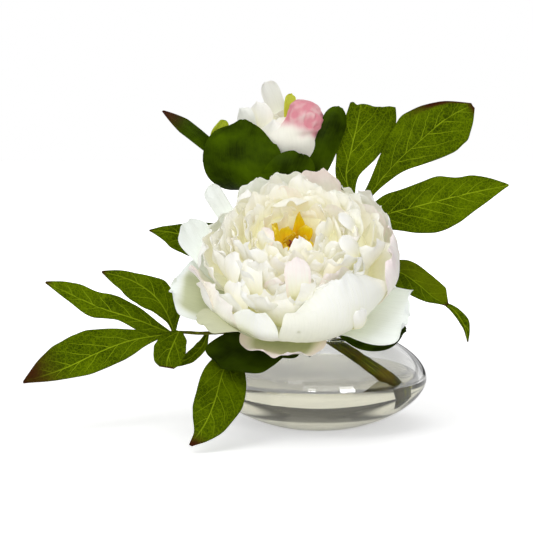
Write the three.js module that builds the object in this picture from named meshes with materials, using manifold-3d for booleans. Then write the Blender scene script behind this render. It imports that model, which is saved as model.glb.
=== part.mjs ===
// A peony in a low round glass vase: one open bloom, one bud and five leaves on a forked stem.
// Millimetres, +Z up. The origin is the centre of the vase's base; +X is right and -Y is the front.
import * as THREE from "three";
import { mergeVertices } from "three/addons/utils/BufferGeometryUtils.js";
import Module from "manifold-3d";

const wasm = await Module();
wasm.setup();

// ---------------------------------------------------------------- driving dimensions
const GAP = 0.3; // clearance between two pieces that touch
const BLADE = 0.8; // thickness of a leaf, petal or sepal
const TOLERANCE = 0.25; // detail smaller than this is smoothed away where blades are fused
const VASE = {
  height: 56,
  radius: 65.5,
  widest: 28.2, // height of the widest ring
  reach: 31.8, // height of the full bulge above and below that ring
  power: 1.83, // 2 is an ellipse, less is leaner towards base and mouth
  wall: 3.8,
  floor: 6,
  innerReachLow: 24.3,
  innerReachHigh: 31.1,
  segments: 36,
};
const WATER_LEVEL = 28.2;
const STEM = { radius: 3.6, shootRadius: 2, sides: 10, steps: 20 };
const PETIOLE_RADIUS = 1.1;
const BLOOM = { position: [-11.2, -20, 81], tilt: 40, lean: -4 };
const BUD = { position: [-24, 37, 141], tilt: 4, lean: 8 };

const COLOUR = {
  glass: 0xdfe7e6,
  water: 0xd5dcd2,
  stem: 0x4f5a22,
  petal: 0xf4f2e4,
  stamen: 0xe2a326,
  carpel: 0x9a3a2c,
  leaf: 0x4c7414,
  sepal: 0x2a4412,
};

// ---------------------------------------------------------------- solids
const vec = (p) => new THREE.Vector3(...p);
const degrees = THREE.MathUtils.degToRad;

// A fixed scatter: the same seed always gives the same number from 0 to 1.
const SCATTER = { step: 12.9898, start: 78.233, scale: 43758.5453 };
const vary = (seed) => {
  const x = Math.sin(seed * SCATTER.step + SCATTER.start) * SCATTER.scale;
  return x - Math.floor(x);
};
const spread = (seed, amount) => (vary(seed) * 2 - 1) * amount;

function solidOf(geometry) {
  const bare = geometry.clone();
  bare.deleteAttribute("normal");
  bare.deleteAttribute("uv");
  const merged = mergeVertices(bare, 1e-4);
  return new wasm.Manifold(
    new wasm.Mesh({
      numProp: 3,
      vertProperties: new Float32Array(merged.attributes.position.array),
      triVerts: new Uint32Array(merged.index.array),
    }),
  );
}

// The largest closed body: fills what fusing seals in and drops loose scraps.
function oneBody(solid) {
  return solid
    .simplify(TOLERANCE)
    .decompose()
    .reduce((a, b) => (b.volume() > a.volume() ? b : a));
}

function geometryOf(solid) {
  const mesh = solid.getMesh();
  const geometry = new THREE.BufferGeometry();
  geometry.setAttribute("position", new THREE.BufferAttribute(mesh.vertProperties, 3));
  geometry.setIndex(new THREE.BufferAttribute(mesh.triVerts, 1));
  geometry.computeVertexNormals();
  return geometry;
}

const fused = (geometries) => geometries.map(solidOf).reduce((a, b) => a.add(b));

function piece(name, solid, colour, roughness = 0.6) {
  const material = new THREE.MeshStandardMaterial({ color: colour, roughness, metalness: 0 });
  material.side = THREE.DoubleSide;
  const mesh = new THREE.Mesh(geometryOf(oneBody(solid)), material);
  mesh.name = name;
  return mesh;
}

// ---------------------------------------------------------------- tubes and turned shapes
function tube(points, radius, steps, sides) {
  const circle = new THREE.Shape();
  circle.absarc(0, 0, radius, 0, 2 * Math.PI, false);
  return new THREE.ExtrudeGeometry(circle, {
    steps,
    curveSegments: sides / 2,
    bevelEnabled: false,
    extrudePath: new THREE.CatmullRomCurve3(points.map(vec), false, "catmullrom", 0.5),
  });
}

function turned(profile, segments) {
  const points = profile.map(([r, z]) => new THREE.Vector2(r, z));
  return new THREE.LatheGeometry(points, segments).rotateX(Math.PI / 2);
}

// Points of the vase's bulge from one height to another, as [radius, height].
function bulge(radius, reachLow, reachHigh, from, to, count) {
  const { widest, power } = VASE;
  const angleAt = (z) => {
    const reach = z < widest ? reachLow : reachHigh;
    return Math.asin(Math.sign(z - widest) * (Math.abs(z - widest) / reach) ** (power / 2));
  };
  const [start, end] = [angleAt(from), angleAt(to)];
  return Array.from({ length: count + 1 }, (_, i) => {
    const a = start + ((end - start) * i) / count;
    const reach = a < 0 ? reachLow : reachHigh;
    const rise = Math.sign(a) * reach * Math.abs(Math.sin(a)) ** (2 / power);
    return [radius * Math.cos(a) ** (2 / power), widest + rise];
  });
}

// ---------------------------------------------------------------- blades: leaves, petals and sepals
// A blade's middle surface runs along a spine (v from 0 to 1) and across it (u from -1 to 1).
// These are the widths left and right of the spine, from a table of [v, left, right].
function stationWidths(stations, v) {
  const i = Math.max(1, stations.findIndex((s) => s[0] >= v));
  const [a, b] = [stations[i - 1], stations[i]];
  const t = (v - a[0]) / (b[0] - a[0]);
  return [a[1] + (b[1] - a[1]) * t, a[2] + (b[2] - a[2]) * t];
}

// A petal widens from its narrow claw to its shoulder, then rounds off to a tip of 0.4 of its width.
function petalWidth(half, claw, v) {
  const shoulder = 0.6;
  const tip = 0.4;
  const beyond = Math.max((v - shoulder) / (1 - shoulder), 0);
  const widening = claw + (1 - claw) * Math.sin((Math.PI / 2) * Math.min(v / shoulder, 1));
  return half * widening * Math.sqrt(1 - (1 - tip ** 2) * beyond ** 2);
}

// round curves the rows at the tip, fold raises both halves like a book and cup like a bowl;
// ruffle is the height of the waves along the edges.
function blade({
  spine,
  faces,
  widths,
  round = 0,
  fold = 0,
  cup = 0,
  ruffle = 0,
  waves = 2,
  phase = 0,
  columns = 4,
  rows = 8,
}) {
  const curve = new THREE.CatmullRomCurve3(spine.map(vec), false, "catmullrom", 0.5);
  const facing = (v) => {
    const x = v * (faces.length - 1);
    const i = Math.min(Math.floor(x), faces.length - 2);
    return vec(faces[i]).lerp(vec(faces[i + 1]), x - i);
  };
  const middle = (u, vFull) => {
    const v = vFull * (1 - round * u * u);
    const along = curve.getTangent(v);
    const side = along.clone().cross(facing(v)).normalize();
    const up = side.clone().cross(along).normalize();
    const [left, right] = widths(v);
    const half = u < 0 ? left : right;
    const wave = ruffle * u * u * vFull * Math.sin(waves * 2 * Math.PI * v + phase + 2 * u);
    const lift = half * (cup * u * u + fold * Math.abs(u)) + wave;
    return curve.getPoint(v).addScaledVector(side, u * half).addScaledVector(up, lift);
  };
  const normal = (u, v) => {
    const near = 0.02;
    const across = middle(Math.min(u + near, 1), v).sub(middle(Math.max(u - near, -1), v));
    const along = middle(u, Math.min(v + near, 1)).sub(middle(u, Math.max(v - near, 0)));
    return across.cross(along).normalize();
  };
  const points = [];
  const front = (i, j) => 2 * (j * (columns + 1) + i);
  for (let j = 0; j <= rows; j++)
    for (let i = 0; i <= columns; i++) {
      const [u, v] = [(2 * i) / columns - 1, j / rows];
      const centre = middle(u, v);
      const offset = normal(u, v).multiplyScalar(BLADE / 2);
      points.push(centre.clone().add(offset), centre.clone().sub(offset));
    }
  const faceList = [];
  const quad = (a, b, c, d) => faceList.push(a, b, c, a, c, d);
  for (let j = 0; j < rows; j++)
    for (let i = 0; i < columns; i++) {
      const [a, b, c, d] = [front(i, j), front(i + 1, j), front(i + 1, j + 1), front(i, j + 1)];
      quad(a, b, c, d);
      faceList.push(a + 1, c + 1, b + 1, a + 1, d + 1, c + 1); // the back, split like the front
    }
  const wall = (a, b) => quad(b, a, a + 1, b + 1);
  for (let i = 0; i < columns; i++) {
    wall(front(i, 0), front(i + 1, 0));
    wall(front(i + 1, rows), front(i, rows));
  }
  for (let j = 0; j < rows; j++) {
    wall(front(0, j + 1), front(0, j));
    wall(front(columns, j), front(columns, j + 1));
  }
  const geometry = new THREE.BufferGeometry().setFromPoints(points);
  geometry.setIndex(faceList);
  return geometry;
}

// A petal or sepal that leans out from an upright axis: unless faces says otherwise, its inner
// face looks at that axis.
function petal({ spine, half, claw = 0.45, azimuth, faces, ...rest }) {
  const middlePoint = spine[Math.floor(spine.length / 2)];
  const phi = azimuth === undefined ? Math.atan2(middlePoint[1], middlePoint[0]) : degrees(azimuth);
  const side = new THREE.Vector3(Math.sin(phi), -Math.cos(phi), 0);
  const curve = new THREE.CatmullRomCurve3(spine.map(vec), false, "catmullrom", 0.5);
  const inward = spine.map((_, i) => {
    const along = curve.getTangent(i / (spine.length - 1));
    return side.clone().cross(along).normalize().toArray();
  });
  const widths = (v) => {
    const w = petalWidth(half, claw, v);
    return [w, w];
  };
  return blade({ spine, faces: faces ?? inward, widths, round: 0.14, columns: 2, rows: 4, ...rest });
}

// A point in an upright frame from its azimuth, its distance from the axis and its height.
const polar = (degreesRound, r, z) => [
  r * Math.cos(degrees(degreesRound)),
  r * Math.sin(degrees(degreesRound)),
  z,
];

// ---------------------------------------------------------------- vase and water
function vaseSolid() {
  const { height, radius, reach, wall, floor, segments, innerReachLow, innerReachHigh } = VASE;
  const lip = wall / 2;
  const outer = bulge(radius, reach, reach, 0, height - lip, 9);
  const inner = bulge(radius - wall, innerReachLow, innerReachHigh, floor, height - lip, 8);
  const rimOut = outer.at(-1)[0];
  const rimIn = inner.at(-1)[0];
  const rim = [30, 90, 150].map((a) => [
    (rimOut + rimIn) / 2 + ((rimOut - rimIn) / 2) * Math.cos(degrees(a)),
    height - lip + lip * Math.sin(degrees(a)),
  ]);
  return solidOf(turned([[0, 0], ...outer, ...rim, ...inner.reverse(), [0, floor]], segments));
}

function waterSolid(stemHole) {
  const { radius, wall, floor, innerReachLow, innerReachHigh, segments } = VASE;
  const low = innerReachLow - 2 * GAP; // the chords of both walls stay clear of each other
  const side = bulge(radius - wall - 2 * GAP, low, innerReachHigh, floor + GAP, WATER_LEVEL, 6);
  const body = turned([[0, floor + GAP], ...side, [0, WATER_LEVEL]], segments);
  return solidOf(body).subtract(stemHole);
}

// ---------------------------------------------------------------- stem
const STEM_ROUTE = [
  [45.5, -25.5, 21],
  [42, -26, 28],
  [22, -22.5, 42.5],
  [7.5, -16, 52],
  [-3.5, -9, 62.5],
  [-9.5, -11, 70],
  [-11, -17, 77],
  [-11.1, -19.4, 80],
];
const SHOOT_ROUTE = [
  [-3, -9.5, 63],
  [2, 4, 76],
  [3, 20, 95],
  [-8, 32, 118],
  [-20, 37, 133],
  [-23.4, 37.1, 139],
];

function stemSolid(extra) {
  const { radius, shootRadius, steps, sides } = STEM;
  return fused([
    tube(STEM_ROUTE, radius + extra, steps, sides),
    tube(SHOOT_ROUTE, shootRadius + extra, steps, sides - 2),
  ]);
}

// ---------------------------------------------------------------- leaves
// Widths are [how far along, left, right] for a blade seen from its upper face, tip up.
const TOWARDS_VIEWER = [0, -0.85, 0.5];
const LEAF_LEFT = {
  petiole: [[-5, -13, 63], [-38, -13.5, 59], [-66, -17, 57], [-79, -15, 57.2], [-88, -13, 57]],
  blades: [
    {
      spine: [[-88, -13, 56.5], [-111, -17, 53], [-130.5, -25, 46.5], [-151, -33, 38], [-173, -40, 31.5]],
      faces: [[0, -0.8, 0.6], [0.1, -0.85, 0.5]],
      stations: [[0, 1, 1], [0.06, 2, 1.5], [0.12, 4, 2.5], [0.25, 9, 6.5], [0.38, 11, 12],
        [0.5, 12, 15.5], [0.62, 11.5, 16.5], [0.75, 7, 14.5], [0.88, 3.7, 9], [1, 0.5, 0.5]],
      fold: 0.16,
    },
    {
      spine: [[-88, -12.5, 56.5], [-110.5, -10, 65], [-128, -14, 71.5], [-144.5, -19, 79.5],
        [-161, -24, 88.5]],
      faces: [[0, -0.8, 0.6], [0.15, -0.8, 0.55]],
      stations: [[0, 1, 1], [0.08, 4, 2.8], [0.18, 7, 6], [0.25, 5.8, 8], [0.38, 4.7, 10.6],
        [0.47, 6.8, 10.2], [0.56, 9.4, 8.2], [0.63, 9.2, 7.7], [0.75, 5.6, 8], [0.88, 3.1, 5.3],
        [1, 0.5, 0.5]],
      fold: 0.2,
    },
    {
      spine: [[-86, -12.5, 57], [-91, -9, 69], [-99.5, -6, 79.5], [-112.5, -4, 87.5], [-129.5, -4, 92.5]],
      faces: [[0.2, -0.9, 0.4], [0.1, -0.85, 0.5]],
      stations: [[0, 1, 1], [0.12, 1.8, 5], [0.2, 4.2, 9.2], [0.27, 6.2, 10.5], [0.4, 9.7, 10.2],
        [0.5, 11, 10.6], [0.62, 11.3, 7.8], [0.75, 10.5, 5], [0.88, 6.6, 3.1], [1, 0.5, 0.5]],
      fold: 0.14,
    },
    {
      spine: [[-83, -15, 58], [-86.5, -22, 51], [-89, -28, 44.5], [-90, -29, 38.5]],
      faces: [[0, -0.5, 0.85], [0, -0.95, 0.2]],
      stations: [[0, 2, 2], [0.2, 7.5, 8], [0.5, 9.8, 10], [0.8, 9, 8], [1, 4.5, 4]],
      fold: 0.18,
    },
    {
      spine: [[-66, -16.5, 57], [-70, -10, 48], [-78, -8, 40.5], [-89, -9, 36]],
      faces: [[0, -0.9, 0.3], [0.3, -0.8, 0.5]],
      stations: [[0, 1, 1], [0.3, 3.4, 3.4], [0.6, 3.6, 3.4], [0.85, 2, 1.8], [1, 0.5, 0.5]],
      fold: 0.3,
    },
  ],
};
const LEAF_UPPER_LEFT = {
  petiole: [[-4, -5, 69], [-20, 10, 80], [-38, 14.5, 92], [-52, 14, 100]],
  blades: [
    {
      spine: [[-49.5, 14, 98.5], [-62, 13, 106], [-76, 12, 111], [-89.5, 9, 115], [-101.5, 6, 116.5]],
      faces: [TOWARDS_VIEWER, TOWARDS_VIEWER],
      stations: [[0, 2, 2], [0.12, 8, 9], [0.25, 12, 15], [0.5, 12, 10], [0.75, 9.5, 4.5],
        [0.9, 4, 2], [1, 0.5, 0.5]],
      fold: 0.12,
    },
  ],
};
const LEAF_UPPER_RIGHT = {
  petiole: [[3.2, 17, 91], [14, 25, 104], [22, 29, 117], [24, 30, 128]],
  blades: [
    {
      spine: [[24, 30, 125], [18, 32, 146.5], [21, 34, 163.5], [24.5, 37, 178], [27, 42, 190]],
      faces: [[0, -1, 0.1], [0, -0.9, 0.45]],
      stations: [[0, 1.5, 1.5], [0.12, 3, 3], [0.25, 6.4, 7.4], [0.38, 7.6, 11.6], [0.5, 9.6, 17.3],
        [0.62, 9.1, 20.6], [0.75, 8.3, 22.2], [0.88, 7.5, 23.5], [1, 6.5, 21.5]],
      fold: 0.12,
    },
    {
      spine: [[24.5, 30, 127], [46, 29, 153.5], [62, 30, 168.5], [79, 33, 182.5], [95.5, 38, 191]],
      faces: [[0, -1, 0.1], [0.1, -0.95, 0.3]],
      stations: [[0, 1.5, 1.5], [0.12, 4.5, 2.2], [0.25, 10.4, 6], [0.38, 15.2, 10.9],
        [0.53, 18.8, 16.2], [0.66, 15.2, 19], [0.8, 10.2, 18], [0.92, 5, 11], [1, 1.2, 2.5]],
      fold: 0.1,
    },
    {
      spine: [[24.5, 30, 120], [51, 25, 127], [73, 21, 133], [94, 16, 138.5], [115, 10, 143.5]],
      faces: [[0, -0.95, 0.3], [0.1, -0.8, 0.6]],
      stations: [[0, 2, 2], [0.12, 9, 8], [0.18, 12, 10.8], [0.31, 12.5, 16.2], [0.44, 13.7, 20.2],
        [0.54, 14.6, 21.2], [0.62, 12.6, 19.5], [0.67, 11.5, 17.5], [0.75, 12.2, 13.3],
        [0.88, 7.2, 6.9], [1, 0.5, 0.5]],
      fold: 0.12,
    },
  ],
};
const LEAF_LOWER_RIGHT = {
  petiole: [[0.5, -3.5, 67], [18, 8, 82], [32, 12, 92], [43, 9, 94]],
  blades: [
    {
      spine: [[41, 9, 94], [52, 6, 90], [61, 0, 83.5], [69, -7, 77.5], [76.5, -13, 73.5]],
      faces: [[0.2, -0.7, 0.7], [0.3, -0.8, 0.5]],
      stations: [[0, 4, 3], [0.2, 8, 9], [0.4, 10, 17], [0.6, 10.5, 12], [0.82, 8, 6], [1, 1.2, 1.2]],
      fold: 0.3,
    },
    {
      spine: [[74.5, -11.5, 74.5], [81.5, -16, 69.5], [86.5, -19, 62], [88.5, -20, 52.5]],
      faces: [[0.5, -0.8, 0.4], [0.6, -0.8, 0]],
      stations: [[0, 1, 1], [0.3, 3, 3], [0.6, 3.6, 3.2], [0.85, 2, 2], [1, 0.5, 0.5]],
      fold: 0.2,
    },
  ],
};
const LEAF_HANGING = {
  petiole: [[-1.5, -14, 59.5], [-20, -26, 59], [-38, -41, 54.5], [-52, -51, 49.5]],
  blades: [
    {
      spine: [[-52, -50, 51], [-56.5, -62, 39], [-60.5, -78, 26], [-65.5, -88, 15.5], [-73.5, -95, 5]],
      faces: [[0.1, -0.7, 0.7], [0.1, -0.85, 0.5]],
      stations: [[0, 3, 3], [0.1, 10.5, 7.5], [0.2, 13.2, 10], [0.31, 15.4, 12], [0.5, 16.7, 11.5],
        [0.62, 13.8, 10.9], [0.75, 11.1, 8], [0.88, 6.3, 2.4], [1, 1, 0.8]],
      fold: 0.1,
    },
  ],
};

function leafSolid({ petiole, blades }, stemCutter) {
  const stalk = tube(petiole, PETIOLE_RADIUS, 8, 6);
  const leaflets = blades.map(({ stations, ...rest }) =>
    blade({ ...rest, widths: (v) => stationWidths(stations, v), columns: 2, rows: 10 }),
  );
  return fused([stalk, ...leaflets]).subtract(stemCutter);
}

// ---------------------------------------------------------------- bloom, in its own upright frame
const CRATER_FLOOR = 34;
const CORE = [
  [0, 2], [9, 2], [22, 7], [33, 15], [36, 24], [33, 34], [26, 41], [20, 44], [15, 43], [12.5, 36],
  [12, CRATER_FLOOR], [0, CRATER_FLOOR],
];
// Each ring: base, middle and tip as [distance from the axis, height], petal count and half width.
const RINGS = [
  { base: [24, 10], mid: [47, 24], tip: [54, 43], count: 10, half: 13.5 },
  { base: [24, 16], mid: [40, 32], tip: [45, 51], count: 10, half: 12 },
  { base: [22, 20], mid: [33, 39], tip: [37, 56], count: 9, half: 10.5 },
  { base: [20, 24], mid: [27, 43], tip: [28, 59], count: 8, half: 9 },
  { base: [18, 26], mid: [22, 43], tip: [19, 57], count: 7, half: 8 },
  { base: [15, 30], mid: [16.5, 42], tip: [12, 50], count: 5, half: 6 },
];
// The cup of broad petals round the head, in the order of their azimuth.
const CUP = [
  { at: 20, tip: [53, 42], half: 23 },
  { at: 68, tip: [58, 46], half: 26 },
  { at: 117, tip: [61, 47], half: 26 },
  { at: 163, tip: [60, 40], half: 25 },
  { at: 213, tip: [58, 41], half: 25 },
  { at: 272, tip: [51, 44], half: 27 },
  { at: 330, tip: [53, 44], half: 25 },
];
const OVERLAPPING = { at: 306, mid: [59, 26], tip: [41, 51], half: 24 };
// Guard petals that stand off the cup, each from its root under the head.
const GUARDS = [
  { spine: [[12, -6, 4], [36, -22, 5], [54, -35, 12], [62, -38, 13]], half: 25, ruffle: 2.5 },
  { spine: [[-13, 2, 4], [-43, 8, 12], [-60, 16, 28], [-69, 24, 41]], half: 16, ruffle: 1.5 },
  { spine: [[-13, -3, 4], [-44, -12, 9], [-62, -14, 19], [-74, -13, 23]], half: 25, ruffle: 2 },
  { spine: [[-12, -7, 4], [-44, -27, 12], [-54, -26, 30], [-63, -18, 42]], half: 13, ruffle: 1 },
  { spine: [[-10, -9, 4], [-30, -40, 8], [-40, -52, 24], [-55, -54, 33]], half: 13, ruffle: 1 },
  { spine: [[-3, -13, 4], [-9, -48, 7], [-13, -62, 17], [-15, -69, 23]], half: 24, ruffle: 1 },
  { spine: [[-9, 7, 8], [-32, 29, 16], [-43, 40, 32], [-51, 49, 45]], half: 9.5, ruffle: 0.5 },
  { spine: [[2, 13, 4], [8, 45, 8], [10, 60, 22], [10, 62, 35]], half: 24, ruffle: 1.5 },
  { spine: [[12, 6, 4], [38, 22, 8], [49, 29, 20], [48, 31, 34]], half: 20, ruffle: 1 },
];

function ringPetals() {
  return RINGS.flatMap(({ base, mid, tip, count, half }, ring) =>
    Array.from({ length: count }, (_, i) => {
      const n = 20 * ring + i;
      const at = (360 * (i + 0.5 * (ring % 2) + spread(n, 0.12))) / count;
      const out = spread(n + 200, 1.6);
      return petal({
        spine: [
          polar(at, base[0], base[1]),
          polar(at + spread(n + 300, 3), mid[0] + out, mid[1]),
          polar(at + spread(n + 400, 5), tip[0] + out, tip[1] + spread(n + 500, 2)),
        ],
        azimuth: at,
        half: half * (1 + spread(n + 600, 0.12)),
        cup: 0.3,
        rows: ring < 3 ? 3 : 2,
      });
    }),
  );
}

function cupPetals() {
  const cup = CUP.map(({ at, tip, half }, i) =>
    petal({
      spine: [polar(at, 16, 5), polar(at, 46, 9), polar(at, 58.5 + (i % 2), 25), polar(at, ...tip)],
      half,
      cup: 0.22,
      ruffle: 1,
      phase: i,
      columns: 3,
    }),
  );
  const { at, mid, tip, half } = OVERLAPPING;
  const over = petal({
    spine: [polar(at, 16, 5), polar(at, 48, 9), polar(at, ...mid), polar(at, ...tip)],
    half,
    cup: 0.25,
    columns: 3,
  });
  return [...cup, over];
}

function bloomPetals() {
  const guards = GUARDS.map(({ spine, half, ruffle }, i) =>
    petal({ spine, half, ruffle, phase: 2 * i, cup: 0.12, columns: 3 }),
  );
  return fused([turned(CORE, 20), ...cupPetals(), ...guards, ...ringPetals()]);
}

// A ring of golden stamens on the floor of the crater.
function bloomStamens() {
  const floor = CRATER_FLOOR + GAP;
  const ring = turned([[5, floor], [10.5, floor], [10.5, floor + 2], [5, floor + 2], [5, floor]], 20);
  const blades = Array.from({ length: 12 }, (_, i) => {
    const at = (360 * (i + spread(i + 40, 0.2))) / 12;
    const tall = floor + 10 + spread(i + 60, 2);
    return petal({
      spine: [polar(at, 8.5, floor + 0.8), polar(at, 9.2, floor + 5), polar(at, 7.2, tall)],
      half: 2,
      claw: 0.7,
      rows: 2,
    });
  });
  return fused([ring, ...blades]);
}

// Three carpels with outward stigma tips at the centre.
function bloomCarpels() {
  const floor = CRATER_FLOOR + GAP;
  const pads = turned([[0, floor], [4.2, floor], [3.6, floor + 3], [0, floor + 3.4]], 12);
  const carpels = [30, 150, 270].map((at) => {
    const [x, y] = polar(at, 1.9, 0);
    return turned([[0, 1], [1.7, 2], [1.9, 4], [1.1, 7.5], [0, 9]], 8).translate(x, y, floor);
  });
  return fused([pads, ...carpels]);
}

// The green cup under the bloom, with its sepals.
const SEPALS = [
  {
    spine: [[-3, -4, -3], [-20, -32, -3], [-36, -52, 4], [-44, -62, 7]],
    half: 21,
    claw: 0.3,
    azimuth: 248,
  },
  { spine: [[-1, -5, -3], [-4, -30, -3], [-9, -44, 2], [-13, -52, 5]], half: 9, claw: 0.4 },
  { spine: [[1, -5, -3], [8, -26, -5], [12, -38, -4]], half: 8, claw: 0.5 },
  { spine: [[4, -3, -3], [28, -22, -6], [44, -30, -6], [61, -30, -2]], half: 14.5, claw: 0.3 },
  { spine: [[2, 4, -3], [12, 30, -4], [18, 46, 2]], half: 12, claw: 0.4 },
  { spine: [[-3, 4, -3], [-26, 26, -4], [-38, 38, 3]], half: 12, claw: 0.4 },
];

function bloomCalyx(stemCutter) {
  const top = CORE[0][1] - GAP;
  const cup = turned([[0, -9], [4.6, -9], [6.5, -5], [9, -1], [9.6, top], [0, top]], 16);
  const sepals = SEPALS.map((s) => petal({ ...s, cup: 0.1, columns: 3 }));
  return fused([cup, ...sepals]).subtract(stemCutter);
}

// ---------------------------------------------------------------- bud, in its own upright frame
const BUD_CORE = [[0, 3], [5, 3], [12, 9], [17, 19], [17, 30], [11, 40], [5, 44], [0, 45]];
const BUD_PETALS = [
  { spine: [[5, -5, 6], [11, -13.5, 20], [14, -17, 33], [12, -15, 45]], half: 18.5, cup: 0.35 },
  { spine: [[-2, 7, 12], [-7, 12, 36], [-13, 14, 61]], half: 8.5, cup: 0.3 },
  { spine: [[-8, 1, 12], [-17, 0, 32], [-20, 3, 50]], half: 10, cup: 0.4 },
  { spine: [[-8, 5, 10], [-24, 3, 30], [-29, 4, 45]], half: 10, cup: 0.4 },
  { spine: [[-8, -5, 8], [-16, -13, 26], [-12, -10, 44]], half: 14, cup: 0.4 },
  { spine: [[6, 5, 8], [17, 10, 26], [13, 8, 46]], half: 14, cup: 0.4 },
  { spine: [[0, 8, 8], [2, 20, 26], [0, 14, 47]], half: 15, cup: 0.4 },
  { spine: [[-5, 6, 8], [-15, 14, 25], [-11, 10, 44]], half: 13, cup: 0.4 },
  { spine: [[1, 3, 36], [0, 2, 48], [0.5, 4, 57]], half: 3.4, cup: 0.3 },
];
// The front petal's tip is rolled up into a crumpled knob.
const BUD_KNOB = { centre: [10, -7.5, 45.5], radius: 11.5, reach: 10.5 };
const BUD_SEPALS = [
  {
    spine: [[-3, -5, -1], [-14, -17, -2], [-25, -24, 12], [-31, -21, 29], [-33, -12, 42]],
    half: 23.5,
    claw: 0.55,
    azimuth: 262,
  },
  { spine: [[1.5, -4, 0], [6.5, -22, 9], [11, -26, 25]], half: 17, claw: 0.5 },
  {
    spine: [[5, -1, 0], [21, -6, 10], [26.5, -10, 32], [31, -5.5, 54]],
    half: 7.5,
    claw: 0.5,
    azimuth: 300,
  },
  {
    spine: [[-4, 2, 0], [-25, 3, 6], [-44.5, -3, 18.5], [-60.5, -6, 28.5], [-76, -8, 37]],
    half: 4.2,
    faces: [[0.2, -0.7, 0.7], [0.3, -0.9, 0.3]],
    claw: 0.8,
  },
  { spine: [[-4, 4, 0], [-30, 9, 10], [-43.5, 6, 26], [-38.5, 5, 39]], half: 4 },
  { spine: [[1, 5, 0], [4, 22, 8], [5, 27, 26]], half: 14, claw: 0.5 },
];

function budPetals() {
  const { centre, radius, reach } = BUD_KNOB;
  const outline = [-90, -45, 0, 45, 90].map((a) => [radius * Math.cos(degrees(a)), reach * Math.sin(degrees(a))]);
  const knob = turned(outline, 8).translate(...centre);
  return fused([turned(BUD_CORE, 14), knob, ...BUD_PETALS.map((p) => petal({ ...p, rows: 3 }))]);
}

function budCalyx(stemCutter) {
  const top = BUD_CORE[0][1] - GAP;
  const cup = turned([[0, -6], [3.4, -6], [5, -2], [7, 1], [7.4, top], [0, top]], 12);
  const sepals = BUD_SEPALS.map((s) => petal({ cup: 0.16, ...s, columns: 3, rows: 5 }));
  return fused([cup, ...sepals]).subtract(stemCutter);
}

// ---------------------------------------------------------------- assembly
function tilted({ position, tilt, lean }) {
  const group = new THREE.Group();
  group.position.set(...position);
  group.rotation.set(degrees(tilt), degrees(lean), 0);
  group.updateMatrixWorld(true);
  return group;
}

// The stem, grown by the clearance, in a group's own frame: what a piece there is bored by.
function stemCutterIn(group) {
  const local = geometryOf(stemSolid(GAP)).applyMatrix4(group.matrixWorld.clone().invert());
  return solidOf(local);
}

const arrangement = new THREE.Group();
const world = new THREE.Group();
const stemCutter = stemCutterIn(world);

arrangement.add(
  piece("vase", vaseSolid(), COLOUR.glass, 0.05),
  piece("water", waterSolid(stemCutter), COLOUR.water, 0.05),
  piece("stem", stemSolid(0), COLOUR.stem),
  piece("leaf_left", leafSolid(LEAF_LEFT, stemCutter), COLOUR.leaf),
  piece("leaf_upper_left", leafSolid(LEAF_UPPER_LEFT, stemCutter), COLOUR.leaf),
  piece("leaf_upper_right", leafSolid(LEAF_UPPER_RIGHT, stemCutter), COLOUR.leaf),
  piece("leaf_lower_right", leafSolid(LEAF_LOWER_RIGHT, stemCutter), COLOUR.leaf),
  piece("leaf_hanging", leafSolid(LEAF_HANGING, stemCutter), COLOUR.leaf),
);

const bloom = tilted(BLOOM);
bloom.add(
  piece("bloom_petals", bloomPetals(), COLOUR.petal),
  piece("bloom_stamens", bloomStamens(), COLOUR.stamen),
  piece("bloom_carpels", bloomCarpels(), COLOUR.carpel),
  piece("bloom_calyx", bloomCalyx(stemCutterIn(bloom)), COLOUR.sepal),
);
arrangement.add(bloom);

const bud = tilted(BUD);
bud.add(
  piece("bud_petals", budPetals(), COLOUR.petal),
  piece("bud_calyx", budCalyx(stemCutterIn(bud)), COLOUR.sepal),
);
arrangement.add(bud);

export default arrangement;
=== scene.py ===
# A peony in a low round glass vase: an open bloom, a bud and five compound leaves on one forked stem.
# Lengths are in millimetres, in the frame's own axes, and become metres as each mesh is finished.
import math

import bmesh
import bpy
from mathutils import Matrix, Vector, noise

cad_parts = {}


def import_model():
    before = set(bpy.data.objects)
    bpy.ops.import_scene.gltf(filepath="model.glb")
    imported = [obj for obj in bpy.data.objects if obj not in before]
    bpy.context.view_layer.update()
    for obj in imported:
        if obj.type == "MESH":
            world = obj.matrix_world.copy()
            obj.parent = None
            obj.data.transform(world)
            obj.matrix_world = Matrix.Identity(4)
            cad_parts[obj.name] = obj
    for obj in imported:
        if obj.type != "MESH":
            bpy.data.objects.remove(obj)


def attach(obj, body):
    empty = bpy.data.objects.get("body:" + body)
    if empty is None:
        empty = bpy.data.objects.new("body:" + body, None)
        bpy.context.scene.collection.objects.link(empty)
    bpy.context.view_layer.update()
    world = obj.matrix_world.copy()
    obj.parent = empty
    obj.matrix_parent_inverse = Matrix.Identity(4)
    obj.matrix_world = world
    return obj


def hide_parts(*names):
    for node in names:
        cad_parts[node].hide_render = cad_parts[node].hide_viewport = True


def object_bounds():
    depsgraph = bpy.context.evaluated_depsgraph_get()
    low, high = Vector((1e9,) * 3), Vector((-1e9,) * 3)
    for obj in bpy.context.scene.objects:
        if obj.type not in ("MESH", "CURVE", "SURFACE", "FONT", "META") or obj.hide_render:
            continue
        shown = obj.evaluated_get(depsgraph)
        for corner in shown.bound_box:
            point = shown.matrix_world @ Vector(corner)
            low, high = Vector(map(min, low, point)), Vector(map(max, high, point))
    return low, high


MM = 0.001

# ---------------------------------------------------------------- driving dimensions
PETAL_THICKNESS = 0.35
LEAF_THICKNESS = 0.4
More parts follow.
